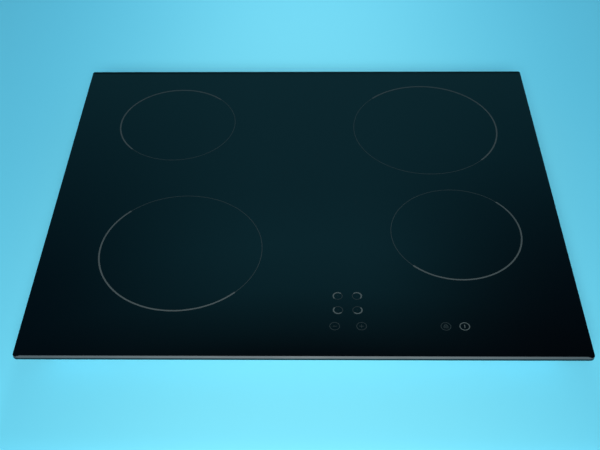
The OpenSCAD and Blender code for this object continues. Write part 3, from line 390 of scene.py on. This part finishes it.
# %% Clamp screws
CLAMP_GAP, CLAMP_SHANK_R, SOCKET_FLAT = 0.1 * MM, 2.5 * MM, 4.4 * MM
PIVOT_X, REAR_PIVOT_Y, FRONT_PIVOT_Y = 261.0 * MM, 218.0 * MM, -179.0 * MM
low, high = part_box("clamp_screws")
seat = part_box("rear_left_clamp")[0].z - CLAMP_GAP
socket = hex_recess(SOCKET_FLAT, 0.7 * (seat - low.z))
socket_points, socket_faces = head_sheet(2 * CLAMP_SHANK_R, seat - low.z, CLAMP_SHANK_R, high.z - seat,
                                         socket, 0.35 * MM, 30, 72)
pivots = [(s * PIVOT_X, y, seat) for s in (-1, 1) for y in (REAR_PIVOT_Y, FRONT_PIVOT_Y)]
parts = [(turned(socket_points, (0, 0, -1), pivot), socket_faces) for pivot in pivots]
socket_screws = place(new_piece("socket_screws", *together(parts)), "hob", "screw_steel", "clamp_screws")

# %% [markdown]
# ## Leaf springs
# Three strips of spring steel under each heater press it up against the glass. A strip could be a plane with
# a Solidify modifier, but it is simplest as one sheet: a rounded flat section carried along a wave, which
# ends in two level feet. The springs give when their heater is pushed down, and each set has a mesh of its
# own.

# %% Leaf springs
SPRING_W, SPRING_T, SPRING_HALF, SPRING_FOOT = 12 * MM, 0.6 * MM, 22 * MM, 6 * MM
SPRING_PLACE = 0.55     # how far out a spring stands, as a share of the heated radius
LIMITER_DEG = {"rear_left": -25, "rear_right": 195, "front_left": 75, "front_right": 130}


def leaf_strip(foot_z, rise):
    """A strip along X. Its middle is at height t / 2 + (rise - t) (1 + cos(pi x / half)) / 2 over the arch,
    and level on the feet. Round the section, across = w / 2 cos(a) and through = t / 2 sin(a), with cos and
    sin raised to 0.4, so that the flat has rounded edges. Each ring stands square to the wave."""
    x = np.linspace(-SPRING_HALF - SPRING_FOOT, SPRING_HALF + SPRING_FOOT, 71)
    wave = (1 + np.cos(np.pi * np.clip(x / SPRING_HALF, -1, 1))) / 2
    middle = np.stack([x, foot_z + SPRING_T / 2 + (rise - SPRING_T) * wave], -1)
    along = np.gradient(middle, axis=0)
    along /= np.linalg.norm(along, axis=1)[:, None]
    a = np.linspace(0, 2 * np.pi, 16, endpoint=False)
    across = SPRING_W / 2 * np.sign(np.cos(a)) * np.abs(np.cos(a)) ** 0.4
    through = SPRING_T / 2 * np.sign(np.sin(a)) * np.abs(np.sin(a)) ** 0.4
    points = np.stack([middle[:, :1] - along[:, 1:] * through, np.broadcast_to(across, (len(x), len(a))),
                       middle[:, 1:] + along[:, :1] * through], -1).reshape(-1, 3)
    rows, cols = len(x), len(a)
    faces = [list(f) for f in sheet_faces(rows, cols)]
    return points, faces + [list(range(cols))[::-1], list(range((rows - 1) * cols, rows * cols))]


leaf_springs = []
for zone, (x, y, heated, _) in ZONES.items():
    low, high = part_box(zone + "_springs")
    rise = high.z - low.z
    strip, strip_faces = leaf_strip(low.z, rise)
    parts = []
    for turn in np.radians(LIMITER_DEG[zone] + np.array([60, 180, 300])):
        out, round_it = np.array([np.cos(turn), np.sin(turn)]), np.array([-np.sin(turn), np.cos(turn)])
        centre = np.array([x, y]) * MM + SPRING_PLACE * heated / 2 * MM * out
        plan = centre + strip[:, :1] * round_it - strip[:, 1:2] * out
        parts.append((np.c_[plan, strip[:, 2]], strip_faces))
    piece = place(new_piece(zone + "_leaf_springs", *together(parts), 30), "hob", "spring_steel",
                  zone + "_springs")
    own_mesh(piece)
    leaf_springs.append(piece)

# %% [markdown]
# ## The cable grommet
# A rubber ring lines the cable hole. It was moulded, so every rim is rounded, and three low ridges on its
# flange grip the fingers. The Screw modifier could turn it. It is a profile of (radius, y) turned once
# round the hole's axis by formula, so that its points need no modifier.

# %% Cable grommet
FLANGE_T, BORE_R, SOFT, RIDGE_H = 2 * MM, 7 * MM, 0.5 * MM, 0.18 * MM
low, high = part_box("cable_bush")
hole_x, hole_z = (low.x + high.x) / 2, (low.z + high.z) / 2
flange_r = (high.x - low.x) / 2
neck_r, flange_y = flange_r - 2 * MM, high.y - FLANGE_T
turn = np.radians(np.linspace(0, 90, 5))
rim = np.stack([flange_r - SOFT + SOFT * np.sin(turn), high.y - SOFT + SOFT * np.cos(turn)], -1)[::-1]
face_r = np.linspace(flange_r - SOFT, BORE_R + 2 * SOFT, 25)[1:]
face = np.stack([face_r, high.y - RIDGE_H * (1 - np.cos(np.linspace(0, 6 * np.pi, 24))) / 2], -1)
mouth = np.stack([BORE_R + 2 * SOFT - 2 * SOFT * np.sin(turn),
                  high.y - 2 * SOFT + 2 * SOFT * np.cos(turn)], -1)[1:]
profile = np.concatenate([[[neck_r, low.y + SOFT], [neck_r, flange_y], [flange_r - 0.2 * MM, flange_y],
                           [flange_r, flange_y + 0.2 * MM]], rim, face, mouth,
                          [[BORE_R, low.y + SOFT], [BORE_R + SOFT, low.y], [neck_r - SOFT, low.y]]])[::-1]
a = np.radians(np.arange(0, 360, 4))
points = np.stack([hole_x + profile[:, :1] * np.cos(a), np.repeat(profile[:, 1:], len(a), 1),
                   hole_z + profile[:, :1] * np.sin(a)], -1)
cable_grommet = place(new_piece("cable_grommet", points.reshape(-1, 3),
                                sheet_faces(len(profile), len(a), close_rows=True), 50),
                      "hob", "bush_rubber", "cable_bush")

# %% [markdown]
# ## Finishes
# A finish starts with what the material is. One function turns a screen colour into linear light, one adds
# a node with its settings and links, and one starts a material with its surface shader. Patterns read
# object coordinates, in metres, so a pattern of d mm has a scale of 1000 / d.

# %% Material helpers
def rgb(code):
    """'#rrggbb' as linear red, green, blue and alpha. A channel c gives c / 12.92 up to 0.04045, and
    ((c + 0.055) / 1.055) to the power 2.4 above it."""
    c = np.array([int(code[i:i + 2], 16) for i in (1, 3, 5)]) / 255
    linear = np.where(c <= 0.04045, c / 12.92, ((c + 0.055) / 1.055) ** 2.4)
    return (*map(float, linear), 1.0)


def put(material, kind, inputs=None, take=None, **settings):
    """Adds one node. Settings are its own values by name, and inputs are {socket: a value or an output}. It
    gives the output named by take, or else the node's first output in use."""
    tree = material.node_tree
    node = tree.nodes.new("ShaderNode" + kind)
    for key, value in settings.items():
        setattr(node, key, value)
    for key, value in (inputs or {}).items():
        if isinstance(value, bpy.types.NodeSocket):
            tree.links.new(value, node.inputs[key])
        else:
            node.inputs[key].default_value = value
    if take:
        return node.outputs[take]
    return next((output for output in node.outputs if output.enabled), None)


def start(name, color, rough, **sockets):
    """A new material: its surface shader with plain values on its own sockets, and object coordinates."""
    material = bpy.data.materials.new(name)
    material.use_nodes = True
    material.node_tree.nodes.clear()
    values = {"Base Color": rgb(color), "Roughness": rough}
    values.update({key.replace("_", " "): value for key, value in sockets.items()})
    shader = put(material, "BsdfPrincipled", values)
    put(material, "OutputMaterial", {"Surface": shader})
    print("finish:", name)
    return material, shader.node, put(material, "TexCoord", take="Object")


def feed(material, surface, **outputs):
    """Links outputs to the surface shader's sockets by name."""
    for key, output in outputs.items():
        material.node_tree.links.new(output, surface.inputs[key.replace("_", " ")])


def grain(material, where, size_mm, detail=3.0, stretch=(1, 1, 1)):
    """Cloudy noise whose lumps are size_mm across, longer along an axis whose stretch is over 1."""
    scaled = put(material, "Mapping", {"Vector": where, "Scale": tuple(1 / s for s in stretch)})
    return put(material, "TexNoise", {"Vector": scaled, "Scale": 1000 / size_mm, "Detail": detail,
                                      "Roughness": 0.55})


FINISH = {}

# %% [markdown]
# ### Glass-ceramic
# Lithium aluminosilicate glass, dyed black and rolled flat: a nearly black body under a hard mirror. The
# rollers leave waves of under a hundredth of a millimetre, centimetres long, that only bend reflections.
# They could be moved points, but a bump from cloudy noise does it on a flat mesh.

# %% Black glass
m, surface, where = start("glass_ceramic_black_rolled", "#030408", 0.04, IOR=1.52)
dye = put(m, "Mix", {"Factor": grain(m, where, 160, 1.0), "A": rgb("#020305"), "B": rgb("#030407")},
          data_type="RGBA")
waves = put(m, "Bump", {"Height": grain(m, where, 70, 1.0), "Distance": 0.008 * MM})
feed(m, surface, Base_Color=dye, Normal=waves)
FINISH["black_glass"] = m

# %% [markdown]
# The bevel is ground with a fine diamond wheel and not polished, so it is a matt grey with marks that run
# along the edge. The marks of a 0.1 mm grit are drawn 0.3 mm wide, so that they show. The grey darkens
# towards both ends, a painted shade where less light falls. It is a material of its own, because the bevel's
# faces are easily told from the rest by where they look.

# %% Ground edge
m, surface, where = start("glass_ceramic_ground_edge", "#5d666b", 0.5, IOR=1.52)
marks = grain(m, where, 0.3, 3.0, (90, 1, 1))
patches = grain(m, where, 40, 1.0)
faint = put(m, "Math", {0: patches, 1: 0.3}, operation="MULTIPLY")
cut = put(m, "Math", {0: marks, 1: 0.7, 2: faint}, operation="MULTIPLY_ADD")
cut = put(m, "MapRange", {0: cut, 1: 0.35, 2: 0.65})
ground = put(m, "Mix", {"Factor": cut, "A": rgb("#5d6165"), "B": rgb("#707477")}, data_type="RGBA")
# Painted shade: the grey darkens towards both ends of the bevel, where less light falls.
off_middle = put(m, "Math", {0: put(m, "SeparateXYZ", {0: where}, take="X")}, operation="ABSOLUTE")
painted_end_shade = put(m, "MapRange", {0: off_middle, 1: 0.0, 2: 0.28})
ground = put(m, "Mix", {"Factor": painted_end_shade, "A": ground, "B": rgb("#475056")}, data_type="RGBA")
feed(m, surface, Base_Color=ground,
     Roughness=put(m, "MapRange", {0: patches, 1: 0.3, 2: 0.7, 3: 0.45, 4: 0.55}),
     Normal=put(m, "Bump", {"Height": marks, "Distance": 0.01 * MM}))
ground_edge = m

# %% [markdown]
# ### Fired enamel
# Grey ceramic colour screen-printed on the glass and fired in. It is matt next to the glass, with a grain
# from the screen's mesh, a tenth of a millimetre on the real one and drawn 0.5 mm wide so that it shows. The
# print darkens from the front towards the rear, a painted shade where less light reaches. Five inks share
# one recipe, which takes the colours at both ends.

# %% Print
def enamel(name, front, rear):
    """Screen print: from the front colour to the darker rear colour along Y, a painted shade, times the
    mesh's grain.
    """
    m, surface, where = start(name, front, 0.5)
    mesh_grain = grain(m, where, 0.5, 2.0)
    # Painted shade: the print darkens from the front towards the rear.
    painted_rear_shade = put(m, "MapRange", {0: put(m, "SeparateXYZ", {0: where}, take="Y"), 1: -0.2, 2: 0.22})
    shaded_print = put(m, "Mix", {"Factor": painted_rear_shade, "A": rgb(front), "B": rgb(rear)}, data_type="RGBA")
    speckle = put(m, "Mix", {"Factor": mesh_grain, "A": rgb("#e2e2e2"), "B": rgb("#ffffff")},
                  data_type="RGBA")
    shaded_print = put(m, "Mix", {"Factor": 1.0, "A": shaded_print, "B": speckle}, data_type="RGBA", blend_type="MULTIPLY")
    feed(m, surface, Base_Color=shaded_print,
         Normal=put(m, "Bump", {"Height": mesh_grain, "Distance": 0.01 * MM}))
    return m


# Each ink's rear colour is its front colour with painted shade.
ENAMEL = {"broad_arcs": enamel("fired_enamel_grey", "#495052", "#2f3639"),
          "key_arcs": enamel("fired_enamel_grey_keys", "#485153", "#343a3c"),
          "fine_arcs": enamel("fired_enamel_thin_grey", "#2e373a", "#262f32"),
          "key_symbols": enamel("fired_enamel_dark_grey", "#252d30", "#1c2325"),
          "power_symbol": enamel("fired_enamel_light_grey", "#4c5557", "#3f4648")}
FINISH["grey_print"] = ENAMEL["broad_arcs"]

# %% [markdown]
# ### Sheet steel
# The tray and the frame are hot-dip galvanised sheet. The zinc freezes in flat crystals, the spangle, each
# with its own shade and gloss, here about 4 mm across as on thin appliance sheet. Rolling leaves fine
# streaks along the sheet, and bends are rounded. The heaters' dishes are aluminised, with finer crystals.
# Plain cells would have straight borders, so noise moves the place at which they are read.

# %% Galvanised steel
def zinc_sheet(name, dark, light, spangle_mm, rough_low, rough_high, bend_mm):
    """Crystals are cells spangle_mm across, whose borders noise twice as coarse moves by up to 2.2 mm. A
    cell's first random number, with a little of the rolling streaks, is its shade between dark and light,
    and its second is its roughness. Sharp edges look rounded to bend_mm."""
    m, surface, where = start(name, light, 0.4, Metallic=1.0)
    wobble = put(m, "TexNoise", {"Vector": where, "Scale": 1000 / (2 * spangle_mm), "Detail": 2.0},
                 take="Color")
    bent = put(m, "VectorMath", {0: wobble, "Scale": 2.2 * MM}, operation="SCALE")
    moved = put(m, "VectorMath", {0: where, 1: bent}, operation="ADD")
    cells = put(m, "TexVoronoi", {"Vector": moved, "Scale": 1000 / spangle_mm}, take="Color")
    shade, gloss, _ = put(m, "SeparateColor", {0: cells}).node.outputs
    streaks = grain(m, where, 0.8, 3.0, (30, 1, 1))
    faint = put(m, "MapRange", {0: streaks, 1: 0.3, 2: 0.7, 3: 0.0, 4: 0.25})
    tone = put(m, "Math", {0: shade, 1: 0.75, 2: faint}, operation="MULTIPLY_ADD")
    bends = put(m, "Bevel", {"Radius": bend_mm * MM}, samples=4)
    feed(m, surface,
         Base_Color=put(m, "Mix", {"Factor": tone, "A": rgb(dark), "B": rgb(light)}, data_type="RGBA"),
         Roughness=put(m, "MapRange", {0: gloss, 3: rough_low, 4: rough_high}),
         Normal=put(m, "Bump", {"Height": streaks, "Distance": 0.01 * MM, "Normal": bends}))
    return m


FINISH["galvanised_steel"] = zinc_sheet("galvanised_sheet_spangled", "#9ba2a6", "#c4c9cb", 4, 0.3, 0.44, 0.7)
FINISH["dish_steel"] = zinc_sheet("aluminised_sheet_drawn", "#a2a6a6", "#c4c7c6", 1.5, 0.38, 0.5, 0.4)

# %% [markdown]
# ### Plated and oiled metal
# Screws, clamps and springs are plated or oiled steel, the heating strips are oxidised alloy and the
# terminals are brass. They share one recipe: a metal with fine marks, a slight change of shade, and rounded
# edges.

# %% Plated and spring steel
def bare_metal(name, dark, light, rough, mark_mm, stretch, edge_mm):
    """Marks mark_mm wide, drawn out along the stretched axis, times clouds 9 mm across are the shade between
    dark and light. The clouds alone change the roughness, and sharp edges look rounded to edge_mm."""
    m, surface, where = start(name, light, rough, Metallic=1.0)
    marks = grain(m, where, mark_mm, 3.0, stretch)
    clouds = grain(m, where, 9, 2.0)
    tone = put(m, "Math", {0: marks, 1: clouds}, operation="MULTIPLY")
    tone = put(m, "MapRange", {0: tone, 1: 0.12, 2: 0.4})
    edges = put(m, "Bevel", {"Radius": edge_mm * MM}, samples=4)
    feed(m, surface,
         Base_Color=put(m, "Mix", {"Factor": tone, "A": rgb(dark), "B": rgb(light)}, data_type="RGBA"),
         Roughness=put(m, "MapRange", {0: clouds, 1: 0.3, 2: 0.7, 3: rough - 0.06, 4: rough + 0.08}),
         Normal=put(m, "Bump", {"Height": marks, "Distance": 0.008 * MM, "Normal": edges}))
    return m


FINISH["screw_steel"] = bare_metal("bright_zinc_plate", "#a9aca9", "#d6d8d2", 0.28, 0.3, (1, 1, 1), 0.15)
FINISH["clamp_steel"] = bare_metal("zinc_plated_strip", "#969b9d", "#c6cacb", 0.34, 0.5, (1, 20, 1), 0.4)
FINISH["spring_steel"] = bare_metal("blued_spring_strip", "#4c5359", "#7d858c", 0.3, 0.4, (12, 1, 1), 0.15)
FINISH["ribbon_alloy"] = bare_metal("oxidised_heating_strip", "#2f2a27", "#5a514b", 0.5, 0.6, (1, 1, 1), 0.1)
FINISH["brass"] = bare_metal("turned_brass", "#a07f35", "#d0ae5c", 0.27, 0.25, (1, 1, 1), 0.15)

# %% [markdown]
# ### Mouldings, boards, foam and wires
# A moulded part takes the fine texture of its spark-eroded mould. Foam and mineral board also have pores.
# They could be separate recipes, but only the pores differ. Each call gives the material's name, two shades,
# roughness, grain and its depth, rounded edge and pores.

# %% Moulded and mineral pieces
def moulded(name, dark, light, rough, grain_mm, depth_mm, edge_mm, pore_mm=None):
    """Grain of grain_mm times clouds 14 mm across is the shade between dark and light, and the grain stands
    depth_mm high. Where there are pores, the grain times the distance from a pore's middle is both, in cells
    pore_mm across. Sharp edges look rounded to edge_mm, unless that is 0."""
    m, surface, where = start(name, light, rough)
    height = grain(m, where, grain_mm)
    cloud = grain(m, where, 14, 2.0)
    if pore_mm:
        pores = put(m, "TexVoronoi", {"Vector": where, "Scale": 1000 / pore_mm}, take="Distance")
        walls = put(m, "MapRange", {0: pores, 1: 0.05, 2: 0.5})
        height = put(m, "Math", {0: height, 1: walls}, operation="MULTIPLY")
        tone = height
    else:
        tone = put(m, "Math", {0: height, 1: cloud}, operation="MULTIPLY")
    tone = put(m, "MapRange", {0: tone, 1: 0.1, 2: 0.42})
    bump = {"Height": height, "Distance": depth_mm * MM}
    if edge_mm:
        bump["Normal"] = put(m, "Bevel", {"Radius": edge_mm * MM}, samples=4)
    feed(m, surface,
         Base_Color=put(m, "Mix", {"Factor": tone, "A": rgb(dark), "B": rgb(light)}, data_type="RGBA"),
         Roughness=put(m, "MapRange", {0: cloud, 1: 0.3, 2: 0.7, 3: rough - 0.05, 4: rough + 0.07}),
         Normal=put(m, "Bump", bump))
    return m


FINISH["black_plastic"] = moulded("moulded_nylon_black", "#141516", "#242628", 0.46, 0.4, 0.03, 0.4)
FINISH["carrier_plastic"] = moulded("moulded_polyester_grey", "#2a2b2d", "#3d3f41", 0.5, 0.4, 0.03, 0.4)
FINISH["pale_plastic"] = moulded("moulded_nylon_natural", "#c9c5b6", "#e0ddd0", 0.42, 0.5, 0.02, 0.4)
FINISH["relay_plastic"] = moulded("relay_case_black", "#101214", "#1d2023", 0.35, 0.3, 0.02, 0.3)
FINISH["display_plastic"] = moulded("display_lens_dark_red", "#1c0608", "#2b0b0e", 0.22, 0.6, 0.005, 0.3)
FINISH["part_plastic"] = moulded("coil_tape_and_sleeve", "#8d7433", "#b3974a", 0.4, 0.8, 0.02, 0.4)
FINISH["bush_rubber"] = moulded("moulded_rubber_black", "#0f1010", "#1e1f1f", 0.62, 0.5, 0.03, 0.4)
FINISH["silicone"] = moulded("silicone_sealant_black", "#101112", "#1c1e1f", 0.32, 1.2, 0.03, 0.0)
FINISH["gasket_foam"] = moulded("closed_cell_foam_black", "#161718", "#303233", 0.8, 0.5, 0.12, 0.0, 0.7)
FINISH["pad_foam"] = moulded("conductive_foam", "#131415", "#2b2d2f", 0.8, 0.4, 0.1, 0.0, 0.6)
FINISH["limiter_ceramic"] = moulded("steatite_ceramic", "#d3cdbc", "#e8e3d6", 0.38, 0.5, 0.02, 0.4)
FINISH["insulation_board"] = moulded("pressed_mineral_slab", "#c7c2b2", "#e4dfd0", 0.85, 1.1, 0.2, 0.6, 2.0)
FINISH["insulation_rim"] = moulded("vermiculite_ring", "#a38d5c", "#d3c298", 0.82, 1.4, 0.25, 0.6, 1.8)
for color, dark, light in (("brown", "#4d2c19", "#6d4226"), ("green", "#4b8a2b", "#8ab13a"),
                           ("grey", "#6d7071", "#8c8f90"), ("red", "#8d2018", "#b5322a"),
                           ("blue", "#23407f", "#3458a3"), ("white", "#cfcdc6", "#e6e4de"),
                           ("black", "#131414", "#242525")):
    FINISH[color + "_wire"] = moulded("wire_sleeve_" + color, dark, light, 0.4, 0.35, 0.02, 0.0)

# %% [markdown]
# ### Circuit boards
# The boards are glass-fibre laminate under green solder resist. Copper tracks show as paler lines on a
# 2.54 mm pitch, and the resist over them is slightly raised. They could be cut as thin solids, but the
# joints of a brick pattern draw them well enough for boards inside a closed tray.

# %% Circuit boards
TRACK_PITCH_MM = 2.54
m, surface, where = start("circuit_board_green_resist", "#1d5a36", 0.32)
copper = put(m, "TexBrick", {"Vector": where, "Scale": 1000 / TRACK_PITCH_MM / 2, "Mortar Size": 0.14,
                             "Brick Width": 0.9, "Row Height": 0.5}, take="Fac", offset=0.37)
edges = put(m, "Bevel", {"Radius": 0.2 * MM}, samples=4)
feed(m, surface,
     Base_Color=put(m, "Mix", {"Factor": copper, "A": rgb("#17492c"), "B": rgb("#3c8256")}, data_type="RGBA"),
     Normal=put(m, "Bump", {"Height": copper, "Distance": 0.04 * MM, "Normal": edges}))
FINISH["circuit_board"] = m

# %% [markdown]
# ## Finishes onto pieces
# Every solid of the frame has a slot in the record, so the slot's name picks its finish. The glass has two
# finishes: faces that look partly up and partly to the front are ground.

# %% Dress the frame and the new pieces
slot_of = {part["node"]: part["material_slot"] for part in frame["record"]["subparts"]}
for name, node in frame["nodes"].items():
    for holder in node.material_slots:
        holder.material = FINISH[slot_of[name]]
    if not node.material_slots:
        node.data.materials.append(FINISH[slot_of[name]])
for piece in (foam_gasket, silicone_bead, frame_screws, socket_screws, cable_grommet, *leaf_springs):
    piece.data.materials.append(FINISH[piece["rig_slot"]])
for piece in (*arcs.values(), key_arcs, key_symbols, power_symbol):
    piece.data.materials.append(ENAMEL[piece.name])
glass.data.materials.append(FINISH["black_glass"])
glass.data.materials.append(ground_edge)
normals = np.zeros(3 * len(glass.data.polygons), np.float32)
glass.data.polygons.foreach_get("normal", normals)
normals = normals.reshape(-1, 3)
is_ground = (normals[:, 2] > 0.5) & (normals[:, 2] < 0.97) & (normals[:, 1] < -0.35)
glass.data.polygons.foreach_set("material_index", is_ground.astype(np.int32))
print("ground faces on the glass:", int(is_ground.sum()))

# %% [markdown]
# ## Floor
# A sheet of matt paper, pale blue, that runs to the horizon. Its blue is paler in a long oval round the hob
# and deeper to the sides, with a little random unevenness: painted light where most light falls, and painted
# shade to the sides. An image could paint that, but a squeezed coordinate's length gives the oval with two
# nodes.

# %% Floor
FLOOR_REACH = 30.0
floor_points = np.array([[-1, -1, 0], [1, -1, 0], [1, 1, 0], [-1, 1, 0]], float) * FLOOR_REACH
floor = new_piece("floor", floor_points, [[0, 1, 2, 3]])
m, surface, where = start("matt_paper_pale_blue", "#78daf4", 0.75)
# Painted light and shade: paler blue in an oval round the hob, deeper blue towards the sides.
squeezed = put(m, "Mapping", {"Vector": where, "Scale": (1, 0.3, 0)})
off_middle = put(m, "VectorMath", {0: squeezed}, operation="LENGTH")
uneven = put(m, "Math", {0: grain(m, where, 400, 1.0), 1: 0.08, 2: off_middle}, operation="MULTIPLY_ADD")
painted_side_shade = put(m, "MapRange", {0: uneven, 1: 0.09, 2: 0.49}, interpolation_type="SMOOTHSTEP")
feed(m, surface, Base_Color=put(m, "Mix", {"Factor": painted_side_shade, "A": rgb("#80e0f8"), "B": rgb("#68cdec")},
                                data_type="RGBA"))
floor.data.materials.append(m)

# %% [markdown]
# ## World
# The glass is a mirror, so the world is mostly there to be seen in it. It is pale at the horizon, blue-green
# above that as on a painted wall, and dark overhead, where a ceiling would be. High on the wall the blue
# deepens to both sides, and its right upper corner is darker still. A picture of a room could do this, but a
# world worked out from the direction alone needs no file. Height and side are parts of a unit direction.

# %% Colour of the world
world = bpy.data.worlds.new("studio")
bpy.context.scene.world = world
world.use_nodes = True
world.node_tree.nodes.clear()
WALL = ((-0.05, "#9cc5d2"), (0.06, "#aecbd3"), (0.2, "#8db3be"), (0.34, "#5a8c99"), (0.5, "#3a8394"),
        (0.57, "#3b8a9d"), (0.66, "#3c8fa4"), (0.7, "#3f97ad"))     # height, colour
SIDE_WALL = "#0b4a5e"
direction = put(world, "TexCoord", take="Generated")
side = put(world, "SeparateXYZ", {0: direction}, take="X")
height = put(world, "SeparateXYZ", {0: direction}, take="Z")
color = rgb(WALL[0][1])
for (from_z, _), (to_z, code) in zip(WALL, WALL[1:]):
    rise = put(world, "MapRange", {0: height, 1: from_z, 2: to_z})
    color = put(world, "Mix", {"Factor": rise, "A": color, "B": rgb(code)}, data_type="RGBA")
sideways = put(world, "MapRange", {0: put(world, "Math", {0: side}, operation="ABSOLUTE"), 1: 0.04, 2: 0.3},
               interpolation_type="SMOOTHSTEP")
raised = put(world, "MapRange", {0: height, 1: 0.5, 2: 0.7})
share = put(world, "Math", {0: sideways, 1: raised}, operation="MULTIPLY")
color = put(world, "Mix", {"Factor": share, "A": color, "B": rgb(SIDE_WALL)}, data_type="RGBA")

# %% Strength of the world
CEILING = ((0.7, 1.0), (0.73, 0.86), (0.758, 0.42), (0.775, 0.11), (0.82, 0.03))     # height, strength
CORNER_DIM = -0.68
right_side = put(world, "MapRange", {0: side, 1: 0.03, 2: 0.25}, interpolation_type="SMOOTHSTEP")
upper = put(world, "MapRange", {0: height, 1: 0.62, 2: 0.74})
corner = put(world, "Math", {0: right_side, 1: upper}, operation="MULTIPLY")
strength = put(world, "Math", {0: corner, 1: CORNER_DIM, 2: 1.0}, operation="MULTIPLY_ADD")
for (from_z, before), (to_z, after) in zip(CEILING, CEILING[1:]):
    fall = put(world, "MapRange", {0: height, 1: from_z, 2: to_z, 3: 1.0, 4: after / before})
    strength = put(world, "Math", {0: strength, 1: fall}, operation="MULTIPLY")
put(world, "OutputWorld", {"Surface": put(world, "Background", {"Color": color, "Strength": strength})})
print("world nodes:", len(world.node_tree.nodes))

# %% [markdown]
# ## Lamps
# Two soft boxes, one in front of the hob and one behind it, and a broad, faintly blue sun from the front
# light the floor and the metal. Boxes alone could do it, but they light the floor in pools, so the sun does
# most. The camera and the reflections don't see the boxes, so that the glass mirrors the room and no lamp.

# %% Lamps
def softbox(name, place_at, aim, width, depth, watts, spread_deg, tint):
    """A rectangular lamp with a grid, at a point, turned so that its face looks at another point."""
    lamp = bpy.data.objects.new(name, bpy.data.lights.new(name, "AREA"))
    bpy.context.scene.collection.objects.link(lamp)
    lamp.data.shape = "RECTANGLE"
    lamp.data.size, lamp.data.size_y = width, depth
    lamp.data.energy = watts
    lamp.data.color = rgb(tint)[:3]
    lamp.data.spread = math.radians(spread_deg)
    lamp.visible_camera = lamp.visible_glossy = False
    lamp.location = place_at
    lamp.rotation_euler = (Vector(aim) - Vector(place_at)).to_track_quat("-Z", "Y").to_euler()
    print(name, "at", place_at, "with", watts, "W")


softbox("front_softbox", (0.0, -1.6, 1.2), (0, -0.35, 0), 0.8, 0.5, 7.8, 80, "#fffaf2")
softbox("back_softbox", (0.0, 1.3, 1.1), (0, 0.45, 0), 0.3, 0.3, 1.75, 80, "#ffffff")
sun = bpy.data.objects.new("key_light", bpy.data.lights.new("key_light", "SUN"))
bpy.context.scene.collection.objects.link(sun)
sun.data.energy = 1.1
sun.data.color = rgb("#e4fbff")[:3]
sun.data.angle = math.radians(35)
sun.rotation_euler = Vector((0.15, 1.0, -0.85)).to_track_quat("-Z", "Y").to_euler()
bpy.context.scene.view_settings.view_transform = "Standard"
